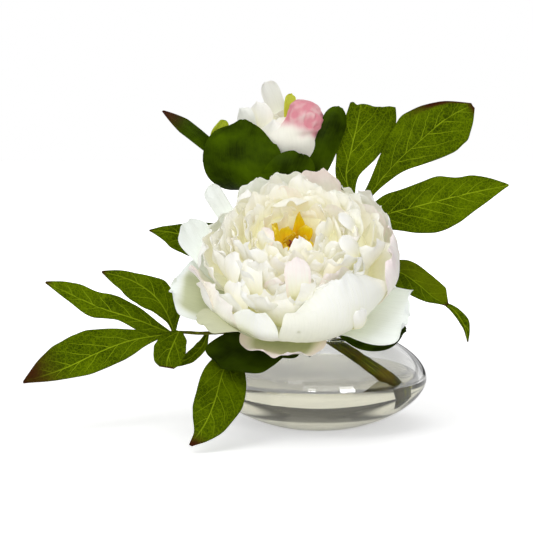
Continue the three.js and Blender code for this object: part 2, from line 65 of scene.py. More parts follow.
# The bulge reaches above and below the widest height by its reach, and power makes it fuller than an ellipse.
VASE = {"height": 56, "radius": 65.5, "widest": 28.2, "reach": 31.8, "power": 1.83, "wall": 3.8, "floor": 6,
        "inner_reach_low": 24.3, "inner_reach_high": 31.1}
WATER_LEVEL = 28.2
BLOOM_STAND = {"position": (-11.2, -20, 81), "tilt": 40, "lean": -4}
BUD_STAND = {"position": (-24, 37, 141), "tilt": 4, "lean": 8}
CAMERA = {"target": (-31, 0, 95), "elevation": 6, "distance": 1200, "lens": 135, "sensor": 36}


# ---------------------------------------------------------------- frame and files
def load_frame():
    """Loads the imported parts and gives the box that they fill."""
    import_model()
    low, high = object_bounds()
    return [list(low), list(high)]


# ---------------------------------------------------------------- curves
def along_spline(points, t):
    """A point on the Catmull-Rom curve through the points, for t from 0 to 1."""
    x = t * (len(points) - 1)
    i = min(int(x), len(points) - 2)
    w = x - i
    here, ahead = points[i], points[i + 1]
    behind = points[i - 1] if i else here * 2 - ahead
    beyond = points[i + 2] if i + 2 < len(points) else ahead * 2 - here
    slope = (ahead - behind) * w
    bend = (behind * 2 - here * 5 + ahead * 4 - beyond) * w**2
    turn = (here * 3 - behind - ahead * 3 + beyond) * w**3
    return (here * 2 + slope + bend + turn) * 0.5


def heading(points, t, near=0.004):
    """The curve's direction at t, over a short stretch of it."""
    return (along_spline(points, min(t + near, 1)) - along_spline(points, max(t - near, 0))).normalized()


def smoothstep(low, high, x):
    t = min(max((x - low) / (high - low), 0), 1)
    return t * t * (3 - 2 * t)


def scatter(seed):
    """A fixed number from -1 to 1 for each seed."""
    x = math.sin(seed * 12.9898 + 78.233) * 43758.5453
    return 2 * (x - math.floor(x)) - 1


def polar(azimuth, r, z):
    """A point from its azimuth in degrees, its distance from the axis and its height."""
    a = math.radians(azimuth)
    return (r * math.cos(a), r * math.sin(a), z)


class Midline:
    """A blade's spine, with its sideways and upward directions and the length run so far."""

    STEPS = 72

    def __init__(self, spine, faces):
        points = [Vector(p) for p in spine]
        faces = [Vector(f) for f in faces]
        self.points, self.sides, self.ups, self.runs = [], [], [], [0.0]
        for k in range(self.STEPS + 1):
            t = k / self.STEPS
            along = heading(points, t)
            x = t * (len(faces) - 1)
            i = min(int(x), len(faces) - 2)
            side = along.cross(faces[i].lerp(faces[i + 1], x - i)).normalized()
            self.points.append(along_spline(points, t))
            self.sides.append(side)
            self.ups.append(side.cross(along))
        for a, b in zip(self.points, self.points[1:]):
            self.runs.append(self.runs[-1] + (b - a).length)
        self.length = self.runs[-1]

    def at(self, t):
        """The place, sideways and upward directions and run at t, which may go straight on past the tip."""
        x = min(max(t, 0), 1) * self.STEPS
        i = min(int(x), self.STEPS - 1)
        w = x - i
        place, side, up = (row[i].lerp(row[i + 1], w) for row in (self.points, self.sides, self.ups))
        run = self.runs[i] + (self.runs[i + 1] - self.runs[i]) * w
        if t > 1:
            place = place + (self.points[-1] - self.points[-2]) * (t - 1) * self.STEPS
        return place, side, up, run


# ---------------------------------------------------------------- shapes in a mesh
# Each vertex of a blade keeps where it is, for the finishes: blade is (u, v, seed), measure is (mm across,
# mm along, half width in mm) and tint is (blush, green, cream and shade) on a petal, (brown, pale, dark) on a
# leaf and (brown, green, dark) on a sepal. A petal's green also carries painted shade, and its cream below 0
# is a greyer white laid on as painted shade; dark on a leaf or a sepal is painted shade.
def blade_layers(mesh):
    layers = mesh.verts.layers.float_vector
    return [layers.get(name) or layers.new(name) for name in ("blade", "measure", "tint")]


def grow_blade(mesh, midline, outline, lift, tint, columns, rows, thickness, seed, gather=1.0):
    """A sheet along a midline. outline(u, v) gives (share along, mm across, half width in mm) and lift(u, v,
    half, run) the height in mm above the midline's own surface. gather sets the rows closer at the tip."""
    blade_on, measure_on, tint_on = blade_layers(mesh)
    made = bmesh.ops.create_grid(mesh, x_segments=columns, y_segments=rows, size=1)["verts"]
    for vert in made:
        u, v = vert.co.x, 1 - max((1 - vert.co.y) / 2, 0) ** gather
        share, across, half = outline(u, v)
        place, side, up, run = midline.at(share)
        vert.co = place + side * across + up * lift(u, v, half, run)
        vert[blade_on] = Vector((u, v, seed))
        vert[measure_on] = Vector((across, run, half))
        vert[tint_on] = Vector(tint(u, v))
    faces = list({face for vert in made for face in vert.link_faces})
    bmesh.ops.solidify(mesh, geom=faces, thickness=thickness)


def grow_tube(mesh, points, radius, steps, sides, material=0, knots=0.0):
    """A closed tube along a curve. radius(t) is in mm; knots roughens it."""
    _, measure_on, _ = blade_layers(mesh)
    route = [Vector(p) for p in points]
    reference = Vector((0, 1, 0)) if abs(heading(route, 0, 0.01).y) < 0.8 else Vector((1, 0, 0))
    made = bmesh.ops.create_grid(mesh, x_segments=sides, y_segments=steps, size=1)["verts"]
    for vert in made:
        t = (vert.co.y + 1) / 2
        along = heading(route, t)
        side = along.cross(reference).normalized()
        up = side.cross(along)
        angle = math.pi * vert.co.x
        centre = along_spline(route, t)
        turn = side * math.cos(angle) + up * math.sin(angle)
        r = radius(t) * (1 + knots * noise.noise(centre * 0.35 + turn * 1.5))
        vert.co = centre + turn * r
        vert[measure_on] = Vector((angle * r, t * 100, r))
    for face in {face for vert in made for face in vert.link_faces}:
        face.material_index = material
    bmesh.ops.remove_doubles(mesh, verts=made, dist=1e-4)
    made = [vert for vert in made if vert.is_valid]
    rims = list({edge for vert in made for edge in vert.link_edges if edge.is_boundary})
    for cap in bmesh.ops.holes_fill(mesh, edges=rims, sides=0)["faces"]:
        cap.material_index = material


def grow_turned(mesh, profile, segments, tone=0.12):
    """A profile of (distance from the axis, height) spun round the axis, closed. tone is its v on a blade."""
    blade_on, measure_on, _ = blade_layers(mesh)
    older = set(mesh.verts)
    verts = [mesh.verts.new((r, 0, z)) for r, z in profile]
    edges = [mesh.edges.new(pair) for pair in zip(verts, verts[1:])]
    whole = {"cent": (0, 0, 0), "axis": (0, 0, 1), "angle": 2 * math.pi, "use_merge": True}
    bmesh.ops.spin(mesh, geom=verts + edges, steps=segments, **whole)
    fresh = [vert for vert in mesh.verts if vert not in older]
    bmesh.ops.remove_doubles(mesh, verts=fresh, dist=0.01)
    fresh = [vert for vert in mesh.verts if vert not in older]
    for vert in fresh:
        vert[blade_on] = Vector((0, tone, 0))
        vert[measure_on] = Vector((vert.co.x, vert.co.z, 10))
    faces = list({face for vert in fresh for face in vert.link_faces})
    bmesh.ops.recalc_face_normals(mesh, faces=faces)


def place_of(stand):
    """A flower's own upright frame, leaned about Y, then tilted about X and set in its place."""
    about_x = Matrix.Rotation(math.radians(stand["tilt"]), 4, "X")
    about_y = Matrix.Rotation(math.radians(stand["lean"]), 4, "Y")
    return Matrix.Translation(stand["position"]) @ about_x @ about_y


def finish_piece(name, mesh, node, finishes, *slots, stand=None, sharp=50):
    """The mesh as an object in metres that stands for one CAD node, with the finishes of these slots."""
    place = place_of(stand) if stand else Matrix.Identity(4)
    bmesh.ops.transform(mesh, matrix=Matrix.Scale(MM, 4) @ place, verts=mesh.verts)
    data = bpy.data.meshes.new(name)
    mesh.to_mesh(data)
    mesh.free()
    data.polygons.foreach_set("use_smooth", [True] * len(data.polygons))
    data.set_sharp_from_angle(angle=math.radians(sharp))
    for slot in slots:
        data.materials.append(finishes[slot])
    piece = bpy.data.objects.new(name, data)
    bpy.context.scene.collection.objects.link(piece)
    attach(piece, "root")
    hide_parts(node)


# ---------------------------------------------------------------- petals and sepals
TIP_ARC = math.radians(74)
TIP_ROUNDNESS = 1.15  # length of the rounded tip for each unit of half width
POINT_WIDTH = 0.07  # width left at the end of a pointed tip
RIM_WAVE = 0.42  # radians of the rim's waves for each millimetre across
GATHER = 1.5  # how much closer a petal's rows are at its tip


def petal_outline(half, claw, length, seed, lobes, erose, taper):
    """A narrow claw that widens to a shoulder and rounds off in an arc with a gently lobed rim,
    or runs out to a point where taper is 1."""
    shoulder = 1 - min((TIP_ROUNDNESS + 3 * taper) * half / length, 0.6)

    def outline(u, v):
        t = max((v - shoulder) / (1 - shoulder), 0)
        widening = claw + (1 - claw) * math.sin(math.pi / 2 * min(v / shoulder, 1))
        arc = t * TIP_ARC
        width = half * widening * ((1 - taper) * math.cos(arc) + taper * (1 - (1 - POINT_WIDTH) * t))
        share = v - (1 - shoulder) * (t - math.sin(arc)) * u * u * (1 - taper)
        wave = RIM_WAVE * u * width
        rim = 0.7 * math.sin(wave + seed * 5) + 0.3 * math.sin(2.3 * wave + seed * 11)
        share += lobes / length * rim * t * t
        share += erose / length * noise.noise(Vector((u * half * 0.3, seed * 7.1, 3.3))) * t
        margin = 1 + 0.07 * noise.noise(Vector((v * 3.2, seed * 3.7, u * 1.2)))
        return share, width * u * margin, width

    return outline


def petal_lift(half, seed, cup, ruffle, waves, phase, crease, frill, roll):
    """Cupped across, waved along the edges, creased along its length, its rim frilled and rolled."""
    def lift(u, v, width, run):
        bowl = half * cup * u * u * (0.4 + 0.6 * smoothstep(0, 0.5, v))
        wave = ruffle * u * u * v * math.sin(waves * 2 * math.pi * v + phase + 2 * u)
        soft = 1.6 * noise.noise(Vector((u * 1.4 + seed * 5, v * 2.2, seed * 11))) * v * half / 20
        fine = crease * noise.noise(Vector((u * half * 0.5 + seed * 9, run * 0.07, seed * 17)))
        edge = max(abs(u) ** 1.5, smoothstep(0.6, 1, v))
        wavelets = math.sin(1.3 * RIM_WAVE * u * width + 6 * v + seed * 3 + phase)
        rim = frill * smoothstep(0.5, 1, edge) * wavelets
        curl = -roll * smoothstep(0.7, 1, edge) * (0.3 + 0.7 * v)
        return bowl + wave + (soft + fine) * smoothstep(0, 0.25, v) + rim + curl

    return lift


def inner_faces(spine, azimuth, twist):
    """Where a petal's inner face looks along its spine: at the axis, and turned by twist at the tip."""
    middle = spine[len(spine) // 2]
    phi = math.atan2(middle[1], middle[0]) if azimuth is None else math.radians(azimuth)
    side = Vector((math.sin(phi), -math.cos(phi), 0))
    points = [Vector(p) for p in spine]
    faces = []
    for i in range(len(points)):
        t = i / (len(points) - 1)
        along = heading(points, t, 0.01)
        faces.append(Matrix.Rotation(math.radians(twist) * t, 3, along) @ side.cross(along))
    return faces


def grow_petal(
    mesh, spine, half, claw=0.45, azimuth=None, faces=None, twist=0.0, cup=0.12, ruffle=0.0, waves=2,
    phase=0.0, crease=0.35, frill=0.0, roll=0.6, lobes=0.6, erose=1.0, taper=0.0, columns=16, rows=18,
    seed=0.0, blush=0.0, green=0.0, cream=0.0, depth=0.0, thickness=PETAL_THICKNESS,
):
    """A petal that leans out from an upright axis, its inner face towards that axis unless faces says
    otherwise. depth paints shade: a grey-green over all but its rim."""
    midline = Midline(spine, faces or inner_faces(spine, azimuth, twist))
    outline = petal_outline(half, claw, midline.length, seed, lobes, erose, taper)
    lift = petal_lift(half, seed, cup, ruffle, waves, phase, crease, frill, roll)

    # The green share also carries depth's painted shade, and depth takes the cream share away inside the rim.
    def tint(u, v):
        inside = (1 - smoothstep(0.55, 0.95, abs(u))) * (1 - smoothstep(0.72, 0.95, v))
        return blush, green + depth * inside, cream * (1 - 0.8 * inside * min(depth, 1))

    grow_blade(mesh, midline, outline, lift, tint, columns, rows, thickness, seed, GATHER)


# ---------------------------------------------------------------- leaves
TOWARDS_VIEWER = (0, -0.85, 0.5)
PETIOLES = {
    "leaf_left": [(-5, -13, 63), (-38, -13.5, 59), (-66, -17, 57), (-79, -15, 57.2), (-88, -13, 57)],
    "leaf_upper_left": [(-4, -5, 69), (-20, 10, 80), (-38, 14.5, 92), (-52, 14, 100)],
    "leaf_upper_right": [(3.2, 17, 91), (14, 25, 104), (22, 29, 117), (24, 30, 128)],
    "leaf_lower_right": [(0.5, -3.5, 67), (18, 8, 82), (32, 12, 92), (43, 9, 94)],
    "leaf_hanging": [(-1.5, -14, 59.5), (-20, -26, 59), (-38, -41, 54.5), (-52, -51, 49.5)],
}
# The leaflets of each leaf. faces says where the upper side looks at the root and at the tip, and stations
# are (share of the length, width to the left, width to the right). dark is painted shade on a leaflet.
LEAVES = {
    "leaf_left": [
        {"spine": [(-88, -13, 56.5), (-111, -17, 53), (-130.5, -25, 46.5), (-151, -33, 38),
                   (-173, -40, 31.5)],
         "faces": [(0, -0.8, 0.6), (0.1, -0.85, 0.5)],
         "stations": [(0, 1, 1), (0.06, 2, 1.5), (0.12, 4, 2.5), (0.25, 9, 6.5), (0.38, 11, 12),
                      (0.5, 12, 15.5), (0.62, 11.5, 16.5), (0.75, 7, 14.5), (0.88, 3.7, 9), (1, 0.5, 0.5)],
         "fold": 0.16, "brown": 0.2},
        {"spine": [(-88, -12.5, 56.5), (-110.5, -10, 65), (-128, -14, 71.5), (-144.5, -19, 79.5),
                   (-161, -24, 88.5)],
         "faces": [(0, -0.8, 0.6), (0.15, -0.8, 0.55)],
         "stations": [(0, 1, 1), (0.08, 4, 2.8), (0.18, 7, 6), (0.25, 5.8, 8), (0.38, 4.7, 10.6),
                      (0.47, 6.8, 10.2), (0.56, 9.4, 8.2), (0.63, 9.2, 7.7), (0.75, 5.6, 8),
                      (0.88, 3.1, 5.3), (1, 0.5, 0.5)],
         "fold": 0.2},
        {"spine": [(-86, -12.5, 57), (-91, -9, 69), (-99.5, -6, 79.5), (-112.5, -4, 87.5),
                   (-129.5, -4, 92.5)],
         "faces": [(0.2, -0.9, 0.4), (0.1, -0.85, 0.5)],
         "stations": [(0, 1, 1), (0.12, 1.8, 5), (0.2, 4.2, 9.2), (0.27, 6.2, 10.5), (0.4, 9.7, 10.2),
                      (0.5, 11, 10.6), (0.62, 11.3, 7.8), (0.75, 10.5, 5), (0.88, 6.6, 3.1), (1, 0.5, 0.5)],
         "dark": 0.35, "fold": 0.14},
        {"spine": [(-83, -15, 58), (-86.5, -22, 51), (-89, -28, 44.5), (-90, -29, 38.5)],
         "faces": [(0, -0.5, 0.85), (0, -0.95, 0.2)],
         "stations": [(0, 2, 2), (0.2, 7.5, 8), (0.5, 9.8, 10), (0.8, 9, 8), (1, 4.5, 4)],
         "dark": 0.25, "fold": 0.18},
        {"spine": [(-66, -16.5, 57), (-70, -10, 48), (-78, -8, 40.5), (-89, -9, 36)],
         "faces": [(0, -0.9, 0.3), (0.3, -0.8, 0.5)],
         "stations": [(0, 1, 1), (0.3, 3.4, 3.4), (0.6, 3.6, 3.4), (0.85, 2, 1.8), (1, 0.5, 0.5)],
         "dark": 0.3, "fold": 0.3},
    ],
    "leaf_upper_left": [
        {"spine": [(-49.5, 14, 98.5), (-62, 13, 106), (-76, 12, 111), (-89.5, 9, 115), (-101.5, 6, 116.5)],
         "faces": [TOWARDS_VIEWER, TOWARDS_VIEWER],
         "stations": [(0, 2, 2), (0.12, 8, 9), (0.25, 12, 15), (0.5, 12, 10), (0.75, 9.5, 4.5),
                      (0.9, 4, 2), (1, 0.5, 0.5)],
         "dark": 0.4, "fold": 0.12},
    ],
    "leaf_upper_right": [
        {"spine": [(24, 30, 125), (18, 32, 146.5), (21, 34, 163.5), (24.5, 37, 178), (27, 42, 190)],
         "faces": [(0, -1, 0.1), (0, -0.9, 0.45)],
         "stations": [(0, 1.5, 1.5), (0.12, 3, 3), (0.25, 6.4, 7.4), (0.38, 7.6, 11.6), (0.5, 9.6, 17.3),
                      (0.62, 9.1, 20.6), (0.75, 8.3, 22.2), (0.88, 7.5, 23.5), (1, 6.5, 21.5)],
         "brown": 0, "ragged": 0.8, "curl": 3, "dark": 0.15, "fold": 0.12},
        {"spine": [(24.5, 30, 127), (46, 29, 153.5), (62, 30, 168.5), (79, 33, 182.5), (95.5, 38, 191)],
         "faces": [(0, -1, 0.1), (0.1, -0.95, 0.3)],
         "stations": [(0, 1.5, 1.5), (0.12, 4.5, 2.2), (0.25, 10.4, 6), (0.38, 15.2, 10.9),
                      (0.53, 18.8, 16.2), (0.66, 15.2, 19), (0.8, 10.2, 18), (0.92, 5, 11), (1, 1.2, 2.5)],
         "fold": 0.1, "rim": 1.1},
        {"spine": [(24.5, 30, 120), (51, 25, 127), (73, 21, 133), (94, 16, 138.5), (115, 10, 143.5)],
         "faces": [(0, -0.95, 0.3), (0.1, -0.8, 0.6)],
         "stations": [(0, 2, 2), (0.12, 9, 8), (0.18, 12, 10.8), (0.31, 12.5, 16.2), (0.44, 13.7, 20.2),
                      (0.54, 14.6, 21.2), (0.62, 12.6, 19.5), (0.67, 11.5, 17.5), (0.75, 12.2, 13.3),
                      (0.88, 7.2, 6.9), (1, 0.5, 0.5)],
         "brown": 0, "fold": 0.12},
    ],
    "leaf_lower_right": [
        {"spine": [(41, 9, 94), (52, 6, 90), (61, 0, 83.5), (69, -7, 77.5), (76.5, -13, 73.5)],
         "faces": [(0.2, -0.7, 0.7), (0.3, -0.8, 0.5)],
         "stations": [(0, 4, 3), (0.2, 8, 9), (0.4, 10, 17), (0.6, 10.5, 12), (0.82, 8, 6), (1, 1.2, 1.2)],
         "dark": 0.4, "fold": 0.3, "pale": 0.7},
        {"spine": [(74.5, -11.5, 74.5), (81.5, -16, 69.5), (86.5, -19, 62), (88.5, -20, 52.5)],
         "faces": [(0.5, -0.8, 0.4), (0.6, -0.8, 0)],
         "stations": [(0, 1, 1), (0.3, 3, 3), (0.6, 3.6, 3.2), (0.85, 2, 2), (1, 0.5, 0.5)],
         "dark": 0.3, "fold": 0.2},
    ],
    "leaf_hanging": [
        {"spine": [(-52, -50, 51), (-56.5, -62, 39), (-60.5, -78, 26), (-65.5, -88, 15.5), (-73.5, -95, 5)],
         "faces": [(0.1, -0.7, 0.7), (0.1, -0.85, 0.5)],
         "stations": [(0, 3, 3), (0.1, 10.5, 7.5), (0.2, 13.2, 10), (0.31, 15.4, 12), (0.5, 16.7, 11.5),
                      (0.62, 13.8, 10.9), (0.75, 11.1, 8), (0.88, 6.3, 2.4), (1, 1, 0.8)],
         "dark": 0.28, "fold": 0.1, "brown": 0.1},
    ],
}
SMALL_LEAFLET = 6  # stations of the small leaflets, which need fewer columns and rows
VEIN_SPACING = 0.16  # between side veins, as a share of the leaflet's length
VEIN_RISE = 1.5  # how far forward a side vein runs for each step outwards
VEIN_BEND = 0.3  # how much more it runs forward at the margin
VEIN_OFFSET = 0.42  # how far the left side's veins stand ahead of the right side's, as a share of the spacing


def station_widths(stations, v):
    i = next((k for k in range(1, len(stations)) if stations[k][0] >= v), len(stations) - 1)
    a, b = stations[i - 1], stations[i]
    t = (v - a[0]) / (b[0] - a[0])
    return a[1] + (b[1] - a[1]) * t, a[2] + (b[2] - a[2]) * t


def smooth_widths(stations, v):
    """The widths with their corners rounded, by averaging over a short stretch."""
    reach = min(0.03, v, 1 - v)
    pairs = [station_widths(stations, v + reach * k / 3) for k in range(-3, 4)]
    return sum(p[0] for p in pairs) / 7, sum(p[1] for p in pairs) / 7


def grow_leaflet(mesh, leaflet, seed):
    midline = Midline(leaflet["spine"], leaflet["faces"])
    stations = leaflet["stations"]
    columns, rows = (14, 36) if len(stations) <= SMALL_LEAFLET else (22, 60)
    spacing = VEIN_SPACING * midline.length
    ragged = leaflet.get("ragged", 0) / midline.length
    brown, rim = leaflet.get("brown", 0.04), leaflet.get("rim", 0)

    def outline(u, v):
        left, right = smooth_widths(stations, v)
        half = left if u < 0 else right
        margin = 1 + 0.05 * abs(u) * noise.noise(Vector((v * 7, seed * 9.1, 4 * math.copysign(1, u))))
        share = v + ragged * math.sin(8 * u + 1) * smoothstep(0.8, 1, v)
        return share, u * half * margin, half

    def lift(u, v, half, run):
        across = abs(u) * half
        trough = 0.5 * math.exp(-((across / 1.2) ** 2))
        vein = (run - across * (VEIN_RISE + VEIN_BEND * abs(u))) / spacing + (VEIN_OFFSET if u < 0 else 0)
        quilt = 0.45 * math.cos(2 * math.pi * vein) * math.sin(math.pi * min(abs(u), 1)) * min(half / 8, 1)
        wave = 0.09 * half * u * u * math.sin(3.2 * math.pi * v + seed * 5 + (1.5 if u < 0 else 0))
        soft = 0.8 * noise.noise(Vector((u * 1.3, v * 3, seed * 13)))
        curl = leaflet.get("curl", 0) * smoothstep(0.86, 1, v) ** 2
        return half * leaflet["fold"] * abs(u) - trough - quilt + wave + soft + curl

    def tint(u, v):
        tip = smoothstep(1 - brown * 1.6, 1 - brown * 0.2, v) if brown else 0
        upper = smoothstep(0.5, 0.75, v) * smoothstep(0.7, 0.88, max(-u, 0)) * rim
        # painted shade: each leaflet's dark share, with more of it towards the leaflet's base
        dark = leaflet.get("dark", 0.1) + 0.35 * (1 - smoothstep(0, 0.5, v))
        return max(tip, upper, smoothstep(0.985, 1, v) * rim), leaflet.get("pale", 0) * (u < 0), dark

    grow_blade(mesh, midline, outline, lift, tint, columns, rows, LEAF_THICKNESS, seed)


def make_leaf(node, finishes):
    mesh = bmesh.new()
    for i, leaflet in enumerate(LEAVES[node]):
        grow_leaflet(mesh, leaflet, 0.37 * i + 0.13 * len(node))
    grow_tube(mesh, PETIOLES[node], lambda t: 1.3 - 0.45 * t, 40, 12, material=1, knots=0.12)
    finish_piece(node + "_veined", mesh, node, finishes, "leaf", "stem")


# ---------------------------------------------------------------- the bloom, in its own upright frame
CRATER_FLOOR = 34
CORE = [(0.001, 2), (9, 2), (26, 8), (36, 15), (42, 24), (41, 32), (36, 39), (29, 44), (23, 47), (18, 46),
        (14, 41), (12, CRATER_FLOOR), (0.001, CRATER_FLOOR)]
# Rings of inner petals: base, middle and tip as (distance from the axis, height), count and half width.
RINGS = [
    {"base": (24, 8), "mid": (47, 23), "tip": (52.5, 41), "count": 13, "half": 12},
    {"base": (24, 12), "mid": (43, 29), "tip": (48, 47), "count": 14, "half": 11.5},
    {"base": (24, 16), "mid": (39, 34), "tip": (43.5, 51), "count": 13, "half": 10.8},
    {"base": (22, 20), "mid": (34, 38), "tip": (38.5, 55), "count": 12, "half": 10.2},
    {"base": (20, 23), "mid": (29, 41), "tip": (33, 57.5), "count": 11, "half": 9.4},
    {"base": (18, 26), "mid": (25, 43), "tip": (27, 59.5), "count": 9, "half": 8.6},
    {"base": (17, 28), "mid": (20.5, 44), "tip": (20.5, 59), "count": 7, "half": 7.4},
    {"base": (15, 30), "mid": (16.5, 42), "tip": (15, 54), "count": 7, "half": 6, "golden": True},
    {"base": (31, 36), "mid": (34, 44), "tip": (33.5, 51), "count": 15, "half": 7.5, "columns": 13},
    {"base": (26, 40), "mid": (28, 48), "tip": (27, 55.5), "count": 14, "half": 7, "columns": 13},
    {"base": (21, 42), "mid": (22.5, 49), "tip": (21, 56), "count": 11, "half": 6.5, "columns": 13},
]
GOLDEN_SIDE = {"from": 120, "to": 215}  # where golden petals take the place of the innermost ring
BEHIND_CUP = {"from": 245, "to": 345, "inward": 6}  # where the outer rings stand behind the cup's petals
DIPS = [(56, 11, 8), (134, 12, 5)]  # notches in the head's outline, as (azimuth, breadth, depth)
# Single petals that stand out on the head, each a spine of (azimuth, distance from the axis, height).
SINGLES = [
    # oval at the front
    {"spine": [(272, 38, 32), (272, 43, 45), (272, 39, 55), (272, 29, 60.5)], "half": 7.6, "cup": 0.22,
     "blush": 0.8, "frill": 0},
    # upper and lower oval at the right
    {"spine": [(2, 34, 38), (2, 36, 49), (1, 33, 58), (0, 26, 63)], "half": 6.4, "cup": 0.3, "frill": 0},
    {"spine": [(333, 37, 34), (333, 40, 46), (333, 37, 55), (333, 30, 60)], "half": 6.4, "cup": 0.3,
     "frill": 0},
    # lobe at the lower right
    {"spine": [(307, 48, 13), (306, 60, 21), (305, 63, 30), (305, 61.5, 38)], "half": 4.6, "cup": 0.4,
     "frill": 0.2},
    # curled strip at the upper left
    {"spine": [(140, 34, 32), (139, 42, 42), (136, 45, 50), (128, 43, 55)], "half": 6, "cup": 0.8,
     "frill": 0.3},
    # cream petal left of the centre, white petal right of it and arched petal behind it
    {"spine": [(214, 15, 38), (209, 20, 49), (203, 18.5, 57), (199, 15, 60.5)], "half": 7.6, "cup": 0.25,
     "blush": 0.9, "cream": 0.5, "frill": 0.2},
    {"spine": [(288, 13, 38), (287, 17, 47), (284, 15.5, 53), (282, 11, 57)], "half": 6.4, "cup": 0.2,
     "frill": 0.9, "lobes": 2.4, "erose": 2.5},
    {"spine": [(98, 15, 36), (98, 20, 48), (98, 19, 60), (98, 12, 65)], "half": 11, "cup": 0.3,
     "cream": 0.7, "frill": 0.3},
    # folds left of the oval, at the lower left, below the oval and above the lower left
    {"spine": [(234, 38, 26), (232, 43, 38), (228, 41, 48), (222, 34, 55)], "half": 9, "cup": 0.3,
     "frill": 0.6, "lobes": 1.4},
    {"spine": [(226, 44, 14), (225, 50, 25), (223, 49, 36), (221, 44, 44)], "half": 10, "cup": 0.25,
     "frill": 0.8, "lobes": 1.4},
    {"spine": [(259, 40, 14), (259, 46, 24), (258, 46, 35), (257, 41, 43)], "half": 11, "cup": 0.25,
     "frill": 0.8, "lobes": 1.4},
    {"spine": [(212, 40, 26), (211, 45, 36), (208, 44, 46), (204, 38, 53)], "half": 9, "cup": 0.3,
     "frill": 0.6, "lobes": 1.4},
    # narrow strip
    {"spine": [(280, 38, 28), (280, 43, 38), (279, 41.5, 48)], "half": 2.4, "cup": 0.3, "frill": 0},
]
# The cup of broad petals round the head: azimuth, and tip as (distance from the axis, height).
CUP = [
    {"at": 8, "tip": (56, 41), "half": 13, "blush": 0.7},
    {"at": 38, "tip": (56, 46.5), "half": 14, "blush": 0.2, "cup": 0.15},
    {"at": 22, "tip": (56, 43), "half": 13, "cup": 0.1},
    {"at": 52, "tip": (54, 40), "half": 12.5, "cup": -0.05},
    {"at": 76, "tip": (58, 45.5), "half": 13, "blush": 0.9, "cup": -0.05},
    {"at": 97, "tip": (57, 43.5), "half": 14, "cup": -0.05},
    {"at": 114, "tip": (57, 44), "half": 12, "cup": -0.05},
    {"at": 139, "tip": (53, 36), "half": 14, "cup": 0.05},
    {"at": 167, "tip": (55, 37), "half": 17, "blush": 0.15},
    {"at": 213, "tip": (54, 38), "half": 21, "blush": 0.4},
    {"at": 243, "tip": (52, 36), "half": 16, "smooth": True},
    {"at": 346, "tip": (56, 43), "half": 17, "blush": 0.9, "smooth": True},
]
# The broad smooth petal that wraps the front of the head, as (azimuth, distance from the axis, height).
WRAPPING = {"spine": [(295, 16, 6), (297, 46, 10), (300, 59.5, 25), (304, 58, 40), (307, 47, 53)], "half": 38,
            "azimuth": 304, "cup": 0.46, "crease": 0.12, "frill": 0.35, "lobes": 0.8, "columns": 40,
            "rows": 34, "seed": 9.3}
# Below 0 the outer petals take the greyer, cooler white: partly a cooler tone, partly painted shade.
OUTER_CREAM_AND_SHADE = -0.35  # below 0 is a cooler white
# Guard petals that stand off the cup, each from its root under the head. depth is painted shade on the
# inner faces that the head shades, and a cream share below 0 greys a petal as painted shade.
GUARDS = [
    {"spine": [(12, -6, 4), (36, -22, 5), (54, -35, 12), (62, -38, 13)], "half": 25, "ruffle": 2.5,
     "cream": -1},
    {"spine": [(-13, 2, 4), (-42, 8, 12), (-57, 16, 28), (-65, 24, 41)], "half": 14, "ruffle": 1.5,
     "cream": -1},
    {"spine": [(-13, -3, 4), (-44, -12, 9), (-62, -14, 19), (-74, -13, 23)], "half": 25, "ruffle": 3.5,
     "cream": -1, "depth": 1.4},
    {"spine": [(-12, -7, 4), (-43, -24, 14), (-53, -22, 33), (-61, -14, 43)], "half": 12, "ruffle": 1,
     "blush": 0.7},
    {"spine": [(-10, -9, 4), (-30, -38, 12), (-41, -46, 27), (-56, -50, 35)], "half": 15, "ruffle": 1,
     "green": 1},
    {"spine": [(-3, -13, 3), (-8, -34, 3), (-12, -52, 8), (-14, -62, 16)], "half": 25, "ruffle": 1,
     "blush": 0.8, "depth": 1.5},
    {"spine": [(-9, 7, 8), (-32, 29, 16), (-43, 40, 32), (-51, 49, 45)], "half": 6.8, "ruffle": 0.3,
     "cream": -0.8},
    {"spine": [(2, 13, 4), (8, 45, 8), (10, 60, 22), (10, 62, 35)], "half": 24, "ruffle": 1.5},
    {"spine": [(12, 6, 4), (38, 22, 8), (49, 29, 20), (48, 31, 34)], "half": 20, "ruffle": 1},
]


def outline_dip(azimuth):
    """How far the head's outline dips there."""
    return sum(depth * math.exp(-(((azimuth - centre) / breadth) ** 2)) for centre, breadth, depth in DIPS)


def grow_polar_petal(mesh, spine, **options):
    """A petal whose spine is given as (azimuth, distance from the axis, height)."""
    grow_petal(mesh, [polar(*point) for point in spine], **options)


def grow_ring_petal(mesh, ring, row, at, n):
    """A crowded petal, out of line with its neighbours in a way that n settles."""
    base, mid, tip = row["base"], row["mid"], row["tip"]
    columns = row.get("columns", 19)
    out = 3 * scatter(n + 200)
    if ring < 2 and BEHIND_CUP["from"] < at < BEHIND_CUP["to"]:
        out -= BEHIND_CUP["inward"]
    dip = outline_dip(at) if ring < 3 else 0
    towards_viewer = -math.sin(math.radians(at))
    grow_petal(
        mesh,
        [
            polar(at, *base),
            polar(at + 3 * scatter(n + 300), mid[0] + out, mid[1]),
            polar(at + 6 * scatter(n + 400), tip[0] + out - dip / 2, tip[1] - dip + 3.2 * scatter(n + 500)),
        ],
        half=row["half"] * (1 + 0.22 * scatter(n + 600)),
        azimuth=at + 16 * scatter(n + 650),
        twist=34 * scatter(n + 700),
        cup=0.14 + 0.2 * towards_viewer + 0.13 * scatter(n + 800),
        crease=0.3,
        frill=0.9 + 0.5 * scatter(n + 850),
        roll=0.6 + 1.2 * scatter(n + 900),
        lobes=1.1 + 0.6 * scatter(n + 950),
        erose=0.8,
        columns=columns,
        rows=columns + 1,
        seed=0.171 * n,
        blush=max(0, scatter(n + 1000) - 0.7) * 2.4,
        cream=0.07 * min(ring, 7) + 0.3 * scatter(n + 1100) - 0.05,
    )


